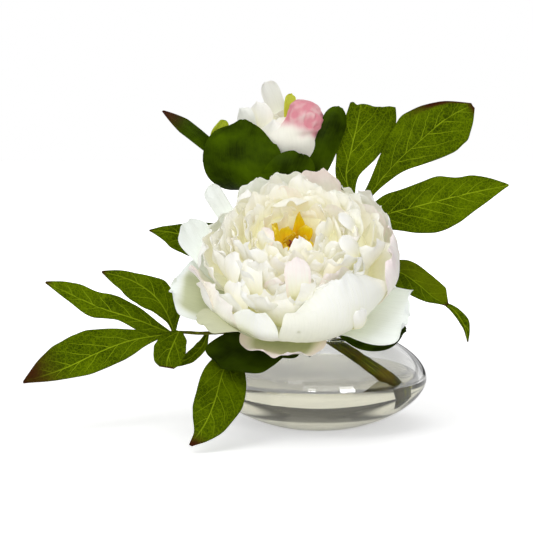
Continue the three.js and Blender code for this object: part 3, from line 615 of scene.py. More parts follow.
def make_inner_petals(finishes):
    """Rings of crowded petals, the innermost one with a gap where golden petals stand."""
    mesh = bmesh.new()
    for ring, row in enumerate(RINGS):
        for i in range(row["count"]):
            n = 20 * ring + i
            at = 360 * (i + 0.5 * (ring % 2) + 0.25 * scatter(n)) / row["count"]
            if not (row.get("golden") and GOLDEN_SIDE["from"] < at < GOLDEN_SIDE["to"]):
                grow_ring_petal(mesh, ring, row, at, n)
    finish_piece("bloom_inner_petals", mesh, "bloom_petals", finishes, "petal", stand=BLOOM_STAND)


def make_single_petals(finishes):
    """The petals that stand out on the head, with the core that closes it inside."""
    mesh = bmesh.new()
    grow_turned(mesh, CORE, 48, tone=0.4)
    shared = {"claw": 0.7, "crease": 0.25, "roll": 0.2, "erose": 0.6, "rows": 22}
    for i, petal in enumerate(SINGLES):
        grow_polar_petal(mesh, seed=20.7 + i, **{**shared, **petal})
    finish_piece("bloom_single_petals", mesh, "bloom_petals", finishes, "petal", stand=BLOOM_STAND)


def make_outer_petals(finishes):
    """The cup, the petal that wraps its front and the guards below it."""
    mesh = bmesh.new()
    for i, petal in enumerate(CUP):
        at, smooth = petal["at"], petal.get("smooth", False)
        grow_petal(
            mesh,
            [polar(at, 16, 5), polar(at, 46, 9), polar(at, 58.5 + i % 2, 25), polar(at, *petal["tip"])],
            half=petal["half"],
            cup=petal.get("cup", 0.22),
            ruffle=0.7,
            phase=i,
            crease=0.12 if smooth else 0.3,
            frill=0.3 if smooth else 0.9,
            lobes=0.5 if smooth else 1.7,
            cream=OUTER_CREAM_AND_SHADE,
            roll=0.8,
            erose=0.8,
            columns=28,
            rows=26,
            seed=3.1 + i * 0.77,
            blush=petal.get("blush", 0),
        )
    grow_polar_petal(mesh, cream=OUTER_CREAM_AND_SHADE, **WRAPPING)
    shared = {"frill": 0.7, "crease": 0.25, "lobes": 1.2, "roll": 0.8, "erose": 1.2, "columns": 28,
              "rows": 28}
    for i, guard in enumerate(GUARDS):
        grow_petal(mesh, phase=2 * i, seed=5.3 + i * 0.61, **shared, **guard)
    finish_piece("bloom_outer_petals", mesh, "bloom_petals", finishes, "petal", stand=BLOOM_STAND)


# ---------------------------------------------------------------- the bloom's middle
MIDDLE_FLOOR = CRATER_FLOOR + 0.3
STAMENS = {"count": 26, "radius": 8.5, "height": 9}
# route is (share of the radius, height above the floor) of each point.
CARPELS = {"azimuths": (30, 150, 270), "radius": 2.2, "thickness": 2.1,
           "route": [(1, 0), (1.3, 4), (1.1, 7), (2, 9)]}
# Broad golden petals of the middle, each a spine of (azimuth, distance from the axis, height).
STRAPS = [
    {"spine": [(222, 6, 35), (205, 10, 43), (184, 12.5, 51), (174, 12, 57)], "half": 7, "twist": -10},
    {"spine": [(60, 6, 35), (70, 10, 46), (72, 10.5, 58)], "half": 4.6, "taper": 0.6},
    {"spine": [(60, 6, 35), (50, 8.5, 43), (42, 9.5, 51)], "half": 4.4, "twist": 40, "lobes": 2.2},
    {"spine": [(140, 5, 35), (128, 9, 42), (115, 9.5, 48)], "half": 4.6, "twist": -30},
    {"spine": [(235, 4, 35), (232, 8, 41), (222, 8, 46)], "half": 3.8},
]


def make_stamens(finishes):
    mesh = bmesh.new()
    floor = MIDDLE_FLOOR
    for i in range(STAMENS["count"]):
        at = 360 * (i + 0.3 * scatter(i + 40)) / STAMENS["count"]
        r = STAMENS["radius"] + 1.2 * scatter(i + 50)
        top = floor + STAMENS["height"] + 2 * scatter(i + 60)
        grow_petal(
            mesh,
            [polar(at, r, floor), polar(at, r + 0.8, floor + 5), polar(at + 8 * scatter(i), r - 1.5, top)],
            half=1.1 + 0.5 * abs(scatter(i + 70)),
            claw=0.5,
            cup=0.5,
            twist=50 * scatter(i + 80),
            crease=0.2,
            roll=0,
            columns=6,
            rows=10,
            seed=i * 0.31,
        )
    shared = {"cup": 0.35, "claw": 0.5, "frill": 0.5, "lobes": 0.8, "columns": 14, "rows": 20}
    for i, strap in enumerate(STRAPS):
        grow_polar_petal(mesh, seed=4 + i, **{**shared, **strap})
    finish_piece("golden_stamens", mesh, "bloom_stamens", finishes, "stamen", stand=BLOOM_STAND)


def carpel_radius(t):
    """Stout at the foot, fullest below the middle and slim at the tip."""
    return CARPELS["thickness"] * (0.75 + 0.5 * math.sin(math.pi * min(t * 1.1, 1))) * (1 - 0.75 * t)


def make_carpels(finishes):
    """Stout carpels with tips that bend outwards."""
    mesh = bmesh.new()
    floor = MIDDLE_FLOOR
    for at in CARPELS["azimuths"]:
        route = [polar(at, CARPELS["radius"] * out, floor + up) for out, up in CARPELS["route"]]
        grow_tube(mesh, route, carpel_radius, 16, 14, knots=0.25)
    finish_piece("red_carpels", mesh, "bloom_carpels", finishes, "carpel", stand=BLOOM_STAND)


# The cream shares of the first three sepals become their dark share: painted shade, the head's shadow on
# them.
SEPALS = [
    {"spine": [(-3, -4, -3), (-20, -32, -3), (-36, -52, 4), (-44, -62, 7)], "half": 21, "claw": 0.3,
     "azimuth": 248, "cream": 0.6},
    {"spine": [(-1, -5, -3), (-4, -30, -4), (-9, -42, -2), (-13, -49, 0)], "half": 9, "claw": 0.4,
     "cream": 0.6},
    {"spine": [(1, -5, -3), (4, -28, -7), (5, -44, -6)], "half": 9, "claw": 0.5, "taper": 0.4,
     "cream": 0.5},
    {"spine": [(4, -3, -3), (28, -22, -6), (44, -30, -6), (61, -30, -2)], "half": 14.5, "claw": 0.3},
    {"spine": [(2, 4, -3), (12, 30, -4), (18, 46, 2)], "half": 12, "claw": 0.4},
    {"spine": [(-3, 4, -3), (-26, 26, -4), (-38, 38, 3)], "half": 12, "claw": 0.4},
]
CALYX_CUP = [(0.001, -9), (4.6, -9), (6.5, -5), (9, -1), (9.6, 1.7), (0.001, 1.7)]


def make_bloom_sepals(finishes):
    mesh = bmesh.new()
    grow_turned(mesh, CALYX_CUP, 32)
    shared = {"cup": 0.1, "crease": 0.15, "roll": 0.4, "lobes": 0, "erose": 0.8, "columns": 20, "rows": 26}
    for i, sepal in enumerate(SEPALS):
        grow_petal(mesh, thickness=LEAF_THICKNESS, seed=7 + i, **shared, **sepal)
    finish_piece("bloom_sepals", mesh, "bloom_calyx", finishes, "sepal", stand=BLOOM_STAND)


# ---------------------------------------------------------------- the bud, in its own upright frame
BUD_CORE = [(0.001, 3), (5, 3), (12, 9), (16, 19), (16, 30), (10, 38), (5, 42), (0.001, 43)]
# A cream share below 0 greys a white petal: painted shade.
BUD_PETALS = [
    {"spine": [(-1, 7, 12), (-4, 12, 34), (-9.5, 14, 49), (-16.5, 14, 61.5)], "half": 7.4, "cup": 0.2,
     "claw": 0.9, "cream": -0.5},
    {"spine": [(-8, 1, 12), (-16, 1, 32), (-20, 3, 49)], "half": 9, "cup": 0.4, "azimuth": 235},
    {"spine": [(-8, 5, 10), (-24, 3, 30), (-29.5, 4, 44)], "half": 9, "cup": 0.4, "cream": -0.4,
     "azimuth": 225},
    {"spine": [(-6, -5, 8), (-13, -11, 24), (-9, -9, 41)], "half": 14, "cup": 0.4},
    {"spine": [(6, 5, 8), (17, 10, 26), (13, 8, 46)], "half": 14, "cup": 0.4, "blush": 0.4},
    {"spine": [(0, 8, 8), (2, 20, 26), (0, 14, 47)], "half": 15, "cup": 0.4},
    {"spine": [(-5, 6, 8), (-15, 14, 25), (-11, 10, 44)], "half": 13, "cup": 0.4},
    {"spine": [(1, 3, 36), (0, 2, 48), (0.5, 4, 57)], "half": 3.4, "cup": 0.3, "green": 1.3},
]
# The front petal, folded on itself: heights from the rolled tip down, each with its centre and half sizes.
FRONT_PETAL = [
    {"z": 55.6, "centre": (7.5, -6.5), "half": (0.01, 0.01)},
    {"z": 54.6, "centre": (8.6, -6.8), "half": (5.6, 5)},
    {"z": 51.5, "centre": (9.8, -7.2), "half": (9.0, 8.4)},
    {"z": 46.5, "centre": (10.6, -7.5), "half": (10.6, 10)},
    {"z": 41, "centre": (9.8, -7.2), "half": (11.6, 10.4)},
    {"z": 36, "centre": (6.6, -6.6), "half": (14.6, 11.8)},
    {"z": 29, "centre": (3.4, -5.8), "half": (18, 13.6)},
    {"z": 21, "centre": (3.6, -4), "half": (17, 12.4)},
    {"z": 12, "centre": (4, -2), "half": (10, 8)},
    {"z": 6, "centre": (2, -1), "half": (0.01, 0.01)},
]
SWIRL = {"centre": (14.5, -17.5, 46), "pitch": 4.6, "groove": 0.8, "reach": 7.5}  # the rolled tip's spiral
CRUMPLE = 1.5
BUD_SEPALS = [
    {"spine": [(-3, -5, -1), (-13, -17, -2), (-23, -24, 11), (-27, -22, 26), (-26, -14, 39)],
     "half": 23.5, "claw": 0.35, "azimuth": 262, "ruffle": 2, "waves": 1},
    {"spine": [(1.5, -4, 0), (6.5, -22, 9), (11, -26, 25)], "half": 17, "claw": 0.5},
    {"spine": [(5, -1, 0), (21, -6, 10), (26.5, -10, 32), (31, -5.5, 54)], "half": 9.5, "claw": 0.4,
     "azimuth": 300},
    {"spine": [(-4, 2, 0), (-25, 3, 6), (-44.5, -3, 18.5), (-60.5, -6, 28.5), (-76, -8, 37)], "half": 5,
     "faces": [(0.2, -0.7, 0.7), (0.3, -0.9, 0.3)], "claw": 0.8, "taper": 0.8, "blush": 1},
    {"spine": [(-4, 4, 0), (-28, 4, 10), (-42, -6, 24), (-37, -8, 36.5)], "half": 3.2, "green": 1,
     "faces": [(0, -1, 0.1), (0, -1, 0.1)]},
    {"spine": [(1, 5, 0), (4, 22, 8), (5, 27, 26)], "half": 14, "claw": 0.5},
]
BUD_CUP = [(0.001, -6), (3.4, -6), (5, -2), (7, 1), (7.4, 2.7), (0.001, 2.7)]


def grow_front_petal(mesh):
    """A closed fold of petal that narrows to a crumpled rose-pink roll at its top."""
    blade_on, measure_on, tint_on = blade_layers(mesh)
    rows = [Vector((row["z"], *row["centre"], 0)) for row in FRONT_PETAL]
    halves = [Vector((*row["half"], 0)) for row in FRONT_PETAL]
    swirl = Vector(SWIRL["centre"])
    for vert in bmesh.ops.create_uvsphere(mesh, u_segments=96, v_segments=90, radius=1)["verts"]:
        down = math.acos(max(-1, min(1, vert.co.z))) / math.pi
        phi = math.atan2(vert.co.y, vert.co.x)
        z, x, y = along_spline(rows, down)[:3]
        half = along_spline(halves, down)
        out = Vector((math.cos(phi), math.sin(phi), 0))
        at = Vector((x + half.x * out.x, y + half.y * out.y, z))
        away = at - swirl
        across = math.hypot(away.x, away.z)
        rolled = smoothstep(34, 43, z)
        narrow = min(half.x / 8, 1)
        wander = 0.35 * noise.noise(at * 0.2)
        turn = (across / SWIRL["pitch"] - math.atan2(away.z, away.x) / (2 * math.pi) + wander) % 1
        near = smoothstep(0.6, 2, across) * (1 - smoothstep(0.5, 1, across / SWIRL["reach"])) * (out.y < 0)
        groove = SWIRL["groove"] * near * math.exp(-(((turn - 0.5) / 0.16) ** 2))
        folds = abs(noise.noise(at * 0.16 + Vector((5.3, 2.2, 9.1))))
        crumple = CRUMPLE * rolled * (0.4 - 1.2 * folds + 0.3 * noise.noise(at * 0.35)) * narrow
        from_fold = (z - 34.5 - 0.22 * (at.x - 10)) / 1.6
        fold = 1.3 * math.exp(-(from_fold**2)) * smoothstep(2, 14, at.x) * (out.y < 0.3)
        soft = 0.7 * noise.noise(at * 0.12) * narrow
        vert.co = at + out * (crumple + soft - groove - fold)
        flush = smoothstep(32, 43, z + 0.3 * (at.x - 9) + 3 * noise.noise(at * 0.15))
        deeper = 0.5 * smoothstep(48, 54, z) + 0.35 * smoothstep(15, 20, at.x) * smoothstep(38, 44, z)
        vert[blade_on] = Vector((0.95, 0.95, 0.4))
        vert[measure_on] = Vector((phi * half.x, z, half.x))
        vert[tint_on] = Vector((flush * (0.85 + 0.4 * groove + 0.8 * folds + deeper), 0, 0.4 * (1 - flush)))


def make_bud_petals(finishes):
    mesh = bmesh.new()
    grow_turned(mesh, BUD_CORE, 32, tone=0.8)
    grow_front_petal(mesh)
    shared = {"frill": 0.3, "lobes": 0.3, "crease": 0.15, "roll": 0.3, "columns": 22, "rows": 26}
    for i, petal in enumerate(BUD_PETALS):
        grow_petal(mesh, seed=2.2 + i * 0.7, **shared, **petal)
    finish_piece("bud_folded_petals", mesh, "bud_petals", finishes, "bud_petal", stand=BUD_STAND)


def make_bud_sepals(finishes):
    mesh = bmesh.new()
    grow_turned(mesh, BUD_CUP, 32)
    shared = {"cup": 0.16, "crease": 0.12, "roll": 0.4, "lobes": 0, "erose": 0.5, "columns": 22, "rows": 30}
    for i, sepal in enumerate(BUD_SEPALS):
        grow_petal(mesh, thickness=LEAF_THICKNESS, seed=11 + i, **shared, **sepal)
    finish_piece("bud_sepals", mesh, "bud_calyx", finishes, "sepal", stand=BUD_STAND)


# ---------------------------------------------------------------- stem
STEM_ROUTE = [(45.5, -25.5, 21), (42, -26, 28), (22, -22.5, 42.5), (7.5, -16, 52), (-3.5, -9, 62.5),
              (-9.5, -11, 70), (-11, -17, 77), (-11.1, -19.4, 80)]
SHOOT_ROUTE = [(-3, -9.5, 63), (2, 4, 76), (3, 20, 95), (-8, 32, 118), (-20, 37, 133), (-23.4, 37.1, 139)]


def make_stem(finishes):
    """The main stem flares at its cut end; the shoot to the bud is even."""
    mesh = bmesh.new()
    grow_tube(mesh, STEM_ROUTE, lambda t: 3.6 + 1.8 * (1 - smoothstep(0, 0.3, t)), 90, 28, knots=0.08)
    grow_tube(mesh, SHOOT_ROUTE, lambda t: 2.0, 70, 22, knots=0.1)
    finish_piece("forked_stem", mesh, "stem", finishes, "stem")


# ---------------------------------------------------------------- vase and water
ROUND_STEPS = 160  # segments round the vase
INTO_GLASS = 0.15  # how far the water runs into the glass, so that no air shows between them


def bulge(radius, reach_low, reach_high, start, end, count):
    """Points of the vase's bulge from one height to another, as (radius, height)."""
    widest, power = VASE["widest"], VASE["power"]

    def angle_at(z):
        reach = reach_low if z < widest else reach_high
        return math.asin(math.copysign((abs(z - widest) / reach) ** (power / 2), z - widest))

    low, high = angle_at(start), angle_at(end)
    points = []
    for i in range(count + 1):
        a = low + (high - low) * i / count
        reach = reach_low if a < 0 else reach_high
        rise = math.copysign(reach * abs(math.sin(a)) ** (2 / power), a)
        points.append((radius * math.cos(a) ** (2 / power), widest + rise))
    return points


def make_vase(finishes):
    wall, floor, reach = VASE["wall"], VASE["floor"], VASE["reach"]
    lip = wall / 2
    top = VASE["height"] - lip
    outer = bulge(VASE["radius"], reach, reach, 0, top, 40)
    inner = bulge(VASE["radius"] - wall, VASE["inner_reach_low"], VASE["inner_reach_high"], floor, top, 36)
    middle, half = (outer[-1][0] + inner[-1][0]) / 2, (outer[-1][0] - inner[-1][0]) / 2
    turns = [math.radians(a) for a in range(15, 180, 15)]
    rim = [(middle + half * math.cos(a), top + lip * math.sin(a)) for a in turns]
    mesh = bmesh.new()
    grow_turned(mesh, [(0.001, 0), *outer, *rim, *reversed(inner), (0.001, floor)], ROUND_STEPS)
    finish_piece("clear_vase", mesh, "vase", finishes, "glass", sharp=40)


def make_water(finishes):
    radius = VASE["radius"] - VASE["wall"] + INTO_GLASS
    bottom = VASE["floor"] - INTO_GLASS
    reach_low = VASE["inner_reach_low"] + INTO_GLASS
    side = bulge(radius, reach_low, VASE["inner_reach_high"], bottom + 0.01, WATER_LEVEL, 30)
    mesh = bmesh.new()
    grow_turned(mesh, [(0.001, bottom), *side, (0.001, WATER_LEVEL)], ROUND_STEPS)
    finish_piece("still_water", mesh, "water", finishes, "water", sharp=30)


# ---------------------------------------------------------------- nodes
class Nodes:
    """A node tree, with short names for the steps that the finishes use."""

    def __init__(self, tree):
        self.tree = tree
        tree.nodes.clear()

    def put(self, made, inputs):
        """Sets each input of a node, or links it where the value is a socket. Gives the node's outputs."""
        for key, value in inputs.items():
            if isinstance(value, bpy.types.NodeSocket):
                self.tree.links.new(value, made.inputs[key])
            else:
                made.inputs[key].default_value = value
        return made.outputs

    def add(self, kind, inputs=None, **settings):
        made = self.tree.nodes.new("ShaderNode" + kind)
        for name, value in settings.items():
            setattr(made, name, value)
        return self.put(made, inputs or {})

    def group(self, effect, **inputs):
        return self.add("Group", inputs, node_tree=effect.tree)

    def math(self, operation, *values, clamp=False):
        return self.add("Math", dict(enumerate(values)), operation=operation, use_clamp=clamp)[0]

    def times(self, a, b, clamp=False):
        return self.math("MULTIPLY", a, b, clamp=clamp)

    def plus(self, a, b):
        return self.math("ADD", a, b)

    def minus(self, a, b):
        return self.math("SUBTRACT", a, b)

    def larger(self, a, b):
        return self.math("MAXIMUM", a, b)

    def size(self, a):
        return self.math("ABSOLUTE", a)

    def ranged(self, value, low, high, to_low=0.0, to_high=1.0):
        """Runs smoothly from to_low to to_high as the value goes from low to high."""
        inputs = {0: value, 1: low, 2: high, 3: to_low, 4: to_high}
        return self.add("MapRange", inputs, interpolation_type="SMOOTHSTEP")[0]

    def ramp(self, factor, stops):
        """A colour ramp with stops of (position, colour)."""
        made = self.tree.nodes.new("ShaderNodeValToRGB")
        elements = made.color_ramp.elements
        for i, (position, colour) in enumerate(stops):
            stop = elements[i] if i < 2 else elements.new(position)
            stop.position = position
            stop.color = (*colour, 1)
        return self.put(made, {"Fac": factor})["Color"]

    def mixed(self, factor, a, b, blend_type="MIX"):
        a, b = ((*colour, 1) if isinstance(colour, tuple) else colour for colour in (a, b))
        return self.add("Mix", {0: factor, 6: a, 7: b}, data_type="RGBA", blend_type=blend_type)[2]

    def grey(self, level):
        return self.add("CombineColor", {0: level, 1: level, 2: level})[0]

    def vector(self, x, y, z=0.0):
        return self.add("CombineXYZ", {0: x, 1: y, 2: z})[0]

    def parts(self, vector):
        return self.add("SeparateXYZ", {0: vector})

    def attribute(self, name):
        return self.add("Attribute", attribute_name=name)["Vector"]

    def noise(self, place, scale, detail, **more):
        return self.add("TexNoise", {"Vector": place, "Scale": scale, "Detail": detail, **more})


# ---------------------------------------------------------------- effects that the finishes share
class Effect(Nodes):
    """A node group. Its inputs are numbers with a default, or vectors where the default is None."""

    def __init__(self, name, inputs, outputs):
        super().__init__(bpy.data.node_groups.new(name, "ShaderNodeTree"))
        sockets = self.tree.interface
        for socket, default in inputs.items():
            kind = "NodeSocketVector" if default is None else "NodeSocketFloat"
            made = sockets.new_socket(name=socket, in_out="INPUT", socket_type=kind)
            if default is not None:
                made.default_value = default
        for socket in outputs:
            sockets.new_socket(name=socket, in_out="OUTPUT", socket_type="NodeSocketFloat")
        self.given = self.tree.nodes.new("NodeGroupInput").outputs
        self.result = self.tree.nodes.new("NodeGroupOutput")

    def give(self, **outputs):
        self.put(self.result, outputs)
        return self


NET_SCALES = ((0.46, 0.8), (1.0, 0.5))  # cells of the net for each millimetre, each with its weight


def vein_effect():
    """Midrib, side veins and net of a leaf, from mm across, mm along and the half width."""
    veins = Effect("leaf_veins", {"Measure": None, "Spacing": 14.0}, ("Veins", "Net"))
    spacing = veins.given["Spacing"]
    across, along, half = veins.parts(veins.given["Measure"])
    flat = veins.vector(across, along)
    wander = veins.times(veins.minus(veins.noise(flat, 0.09, 2.0)["Fac"], 0.5), 6.0)
    out = veins.size(across)
    share = veins.math("DIVIDE", out, veins.larger(half, 0.5))
    left = veins.math("LESS_THAN", across, 0.0)
    back = veins.times(out, veins.math("MULTIPLY_ADD", share, VEIN_BEND, VEIN_RISE))
    run = veins.plus(veins.minus(along, back), wander)
    turn = veins.plus(veins.math("DIVIDE", run, spacing), veins.times(left, VEIN_OFFSET))
    gap = veins.size(veins.minus(veins.math("FRACT", turn), 0.5))
    gap = veins.times(veins.minus(0.5, gap), spacing)
    thick = veins.math("MULTIPLY_ADD", share, -0.25, 0.36)
    side = veins.minus(1.0, veins.ranged(veins.math("DIVIDE", gap, thick), 0.4, 1.6))
    side = veins.times(side, veins.ranged(share, 0.6, 0.95, 1.0, 0.1))
    rib = veins.minus(1.0, veins.ranged(out, 0.12, 0.5))
    warp = veins.noise(flat, 0.35, 1.0)["Color"]
    bent = veins.add("VectorMath", {0: warp, 1: (2.2, 2.2, 0)}, operation="MULTIPLY")[0]
    bent = veins.add("VectorMath", {0: flat, 1: bent}, operation="ADD")[0]
    lines = []
    for scale, weight in NET_SCALES:
        cells = veins.add("TexVoronoi", {"Vector": bent, "Scale": scale}, feature="DISTANCE_TO_EDGE")
        lines.append(veins.times(veins.minus(1.0, veins.ranged(cells["Distance"], 0.02, 0.11)), weight))
    return veins.give(Veins=veins.larger(side, rib), Net=veins.larger(*lines))


def mottle_effect():
    """Cloudy variation from Object coordinates, around 0.5."""
    mottle = Effect("mottle", {"Scale": 60.0, "Detail": 4.0}, ("Fac",))
    place = mottle.add("TexCoord")["Object"]
    return mottle.give(Fac=mottle.noise(place, mottle.given["Scale"], mottle.given["Detail"])["Fac"])


THREAD_PITCH = 18.0  # radians of the woven grain for each millimetre


def crease_effect():
    """Fine lengthwise creases of a petal or sepal, with a woven grain, from its measures."""
    creases = Effect("lengthwise_creases", {"Measure": None, "Seed": 0.0, "Weave": 0.3}, ("Height",))
    across, along, _ = creases.parts(creases.given["Measure"])
    at = creases.vector(creases.times(across, 1.1), creases.times(along, 0.07), creases.given["Seed"])
    fold = creases.noise(at, 1.0, 3.0, Roughness=0.6)["Fac"]
    warp, weft = (creases.math("SINE", creases.times(way, THREAD_PITCH)) for way in (across, along))
    grain = creases.times(creases.times(warp, weft), creases.times(creases.given["Weave"], 0.1))
    return creases.give(Height=creases.plus(fold, grain))


# ---------------------------------------------------------------- finishes
class Finish(Nodes):
    """A material: its principled surface and the nodes that feed it, effects among them."""

    def __init__(self, name, effects=None):
        self.effects = effects
        self.material = bpy.data.materials.new(name)
        self.material.use_nodes = True
        super().__init__(self.material.node_tree)
        self.surface = self.tree.nodes.new("ShaderNodeBsdfPrincipled")
        self.add("OutputMaterial", {"Surface": self.surface.outputs[0]})

    def settle(self, **values):
        """Sets or links inputs of the surface, their names with _ for each space."""
        self.put(self.surface, {name.replace("_", " "): value for name, value in values.items()})

    def bump(self, height, distance, strength):
        """Shades the surface as if it were raised by height, with distance in metres."""
        inputs = {"Height": height, "Distance": distance, "Strength": strength}
        self.settle(Normal=self.add("Bump", inputs)[0])

    def mottle(self, scale, detail=4.0):
        return self.group(self.effects["mottle"], Scale=scale, Detail=detail)["Fac"]

    def creases(self, seed, weave):
        measure = self.attribute("measure")
        return self.group(self.effects["creases"], Measure=measure, Seed=seed, Weave=weave)["Height"]

    def coats(self, base, layers):
        """A colour with each layer of (share, colour) over it."""
        for share, colour in layers:
            base = self.mixed(share, base, colour)
        return base


# Painted glow: petals and stamens emit this share of their own colour, standing in for light passed through
# them.
PAINTED_PETAL_GLOW = 0.1  # light that thin petals pass on to each other, as a share of their colour
PETAL_TONES = [(0.0, (0.78, 0.77, 0.34)), (0.3, (0.90, 0.88, 0.60)), (0.55, (0.94, 0.92, 0.76)),
               (0.8, (0.96, 0.95, 0.87)), (1.0, (0.96, 0.955, 0.91))]
# CREAM is a warm tone; the cool white is greyer, and is painted shade where a cream share below 0 lays it on.
CREAM, COOL_SHADED_WHITE = (0.96, 0.90, 0.62), (0.85, 0.90, 0.87)


def petal_finish(name, effects, flush, flush_share, leafy_and_shade, shade=(1, 1, 1)):
    """Silk: green-yellow at the claw, creamy to white at the tip, some rims flushed. Painted shade greens
    some insides, greys some whites and darkens the creases' hollows, and a painted glow lifts it. shade tones
    all of it.
    """
    petal = Finish(name, effects)
    u, v, seed = petal.parts(petal.attribute("blade"))
    blush, green, cream = petal.parts(petal.attribute("tint"))
    cloud = petal.mottle(55.0)
    rim = petal.larger(petal.ranged(v, 0.5, 1.0), petal.ranged(petal.size(u), 0.6, 1.0))
    flushed = petal.times(petal.times(blush, rim), petal.ranged(cloud, 0.3, 0.6, 0.5, 1.0))
    base = petal.ramp(petal.plus(v, petal.times(petal.minus(cloud, 0.5), 0.3)), PETAL_TONES)
    base = petal.coats(base, [
        # real green and painted shade: the green share lays on the leafy colour
        (petal.times(green, 0.75), leafy_and_shade),
        (petal.times(cream, 0.45, clamp=True), CREAM),
        # painted shade: a cream share below 0 lays on the greyer cool white
        (petal.times(cream, -0.85, clamp=True), COOL_SHADED_WHITE),
        (petal.times(flushed, flush_share, clamp=True), flush),
    ])
    creases = petal.creases(seed, 0.4)
    # painted shade: the base is up to 3% darker in the creases' hollows
    base = petal.mixed(1.0, base, petal.grey(petal.ranged(creases, 0.35, 0.6, 0.97, 1.0)), "MULTIPLY")
    base = petal.mixed(1.0, base, shade, "MULTIPLY")
    petal.bump(creases, 0.0006, 0.3)
    petal.settle(Base_Color=base, Roughness=0.65, Specular_IOR_Level=0.15)
    # painted glow: the petal emits a share of its own colour
    petal.settle(Emission_Color=base, Emission_Strength=PAINTED_PETAL_GLOW)
    return petal.material


LEAF_TONES = [(0.3, (0.036, 0.062, 0.0002)), (0.5, (0.082, 0.134, 0.0004)), (0.7, (0.128, 0.198, 0.0006))]


def leaf_finish(effects):
    """Printed cloth: mottled green with light veins and a net, brown at some tips and rims, with painted
    shade in broad patches, on shaded leaflets and towards each leaflet's base.
    """
    leaf = Finish("printed_leaf", effects)
    u, v, _ = leaf.parts(leaf.attribute("blade"))
    brown, pale, dark = leaf.parts(leaf.attribute("tint"))
    veins = leaf.group(effects["veins"], Measure=leaf.attribute("measure"), Spacing=12.5)
    cloud = leaf.mottle(70.0)
    speckle = leaf.mottle(700.0, 3.0)
    broad_shade = leaf.mottle(28.0, 2.0)
    base = leaf.coats(leaf.ramp(cloud, LEAF_TONES), [
        # painted shade: broad dark patches for the shading of the leaves' folds
        (leaf.ranged(broad_shade, 0.35, 0.6, 0.55, 0.0), (0.030, 0.052, 0.0002)),
        (leaf.ranged(speckle, 0.4, 0.65, 0.0, 0.25), (0.022, 0.040, 0.0002)),
        (leaf.times(veins["Net"], 0.65), (0.21, 0.31, 0.002)),
        (leaf.times(veins["Veins"], leaf.ranged(v, 0.6, 1.0, 1.0, 0.5)), (0.33, 0.45, 0.012)),
        (leaf.times(pale, 0.6), (0.24, 0.30, 0.004)),
        # painted shade: the dark share darkens shaded leaflets and their bases
        (leaf.times(dark, 0.75, clamp=True), (0.018, 0.028, 0.0003)),
        (leaf.ranged(leaf.size(u), 0.94, 1.0, 0.0, 0.5), (0.05, 0.08, 0.001)),
        (leaf.times(brown, leaf.ranged(cloud, 0.3, 0.55, 0.7, 1.0)), (0.055, 0.014, 0.004)),
    ])
    raised = leaf.plus(veins["Veins"], leaf.times(veins["Net"], 0.35))
    leaf.bump(leaf.plus(raised, leaf.times(speckle, 0.4)), 0.0004, 0.5)
    leaf.settle(Base_Color=base, Roughness=0.6, Specular_IOR_Level=0.01)
    return leaf.material


SEPAL_TONES = [(0.35, (0.014, 0.026, 0.0001)), (0.55, (0.042, 0.078, 0.0002)), (0.7, (0.066, 0.118, 0.0003))]


def sepal_finish(effects):
    """Satin dark green, yellow-green or brown towards some tips, with painted shade on the sepals under the
    head.
    """
    sepal = Finish("satin_sepal", effects)
    _, v, seed = sepal.parts(sepal.attribute("blade"))
    brown, green, dark = sepal.parts(sepal.attribute("tint"))
    creases = sepal.creases(seed, 0.2)
    base = sepal.coats(sepal.ramp(sepal.mottle(60.0), SEPAL_TONES), [
        (sepal.ranged(creases, 0.35, 0.65, 0.0, 0.15), (0.07, 0.12, 0.0005)),
        # painted shade: the dark share darkens the sepals that lie in the head's shadow
        (sepal.times(dark, 0.8), (0.010, 0.016, 0.0002)),
        (sepal.times(green, sepal.ranged(v, 0.55, 0.8)), (0.42, 0.50, 0.03)),
        (sepal.times(brown, sepal.ranged(v, 0.72, 1.0)), (0.07, 0.02, 0.01)),
    ])
    sepal.bump(creases, 0.0005, 0.5)
    sepal.settle(Base_Color=base, Roughness=0.5, Specular_IOR_Level=0.02)
    return sepal.material


STEM_TONES = [(0.3, (0.03, 0.033, 0.0006)), (0.5, (0.095, 0.10, 0.002)), (0.75, (0.27, 0.30, 0.015))]


def stem_finish(effects):
    """Dark olive with lengthwise fibres and brown mottling."""
    stem = Finish("mottled_stem", effects)
    across, along, _ = stem.parts(stem.attribute("measure"))
    fibre = stem.noise(stem.vector(stem.times(across, 0.9), stem.times(along, 0.12)), 1.6, 4.0)["Fac"]
    brown = stem.ranged(stem.mottle(90.0), 0.45, 0.65, 0.0, 0.6)
    base = stem.mixed(brown, stem.ramp(fibre, STEM_TONES), (0.16, 0.10, 0.008))
    stem.bump(fibre, 0.0006, 0.6)
    stem.settle(Base_Color=base, Roughness=0.45, Specular_IOR_Level=0.12)
    return stem.material


STAMEN_TONES = [(0.0, (0.55, 0.22, 0.004)), (0.4, (0.82, 0.54, 0.004)), (0.8, (0.88, 0.70, 0.01)),
                (1.0, (0.90, 0.76, 0.14))]


def stamen_finish(effects):
    stamen = Finish("golden_stamen", effects)
    _, v, seed = stamen.parts(stamen.attribute("blade"))
    creases = stamen.creases(seed, 0.3)
    deep = stamen.ranged(creases, 0.45, 0.7, 0.0, 0.5)
    base = stamen.mixed(deep, stamen.ramp(v, STAMEN_TONES), (0.72, 0.36, 0.004))
    stamen.bump(creases, 0.0005, 0.6)
    stamen.settle(Base_Color=base, Roughness=0.55, Specular_IOR_Level=0.3)
    # painted glow: the stamen emits a share of its own colour
    stamen.settle(Emission_Color=base, Emission_Strength=PAINTED_PETAL_GLOW)
    return stamen.material


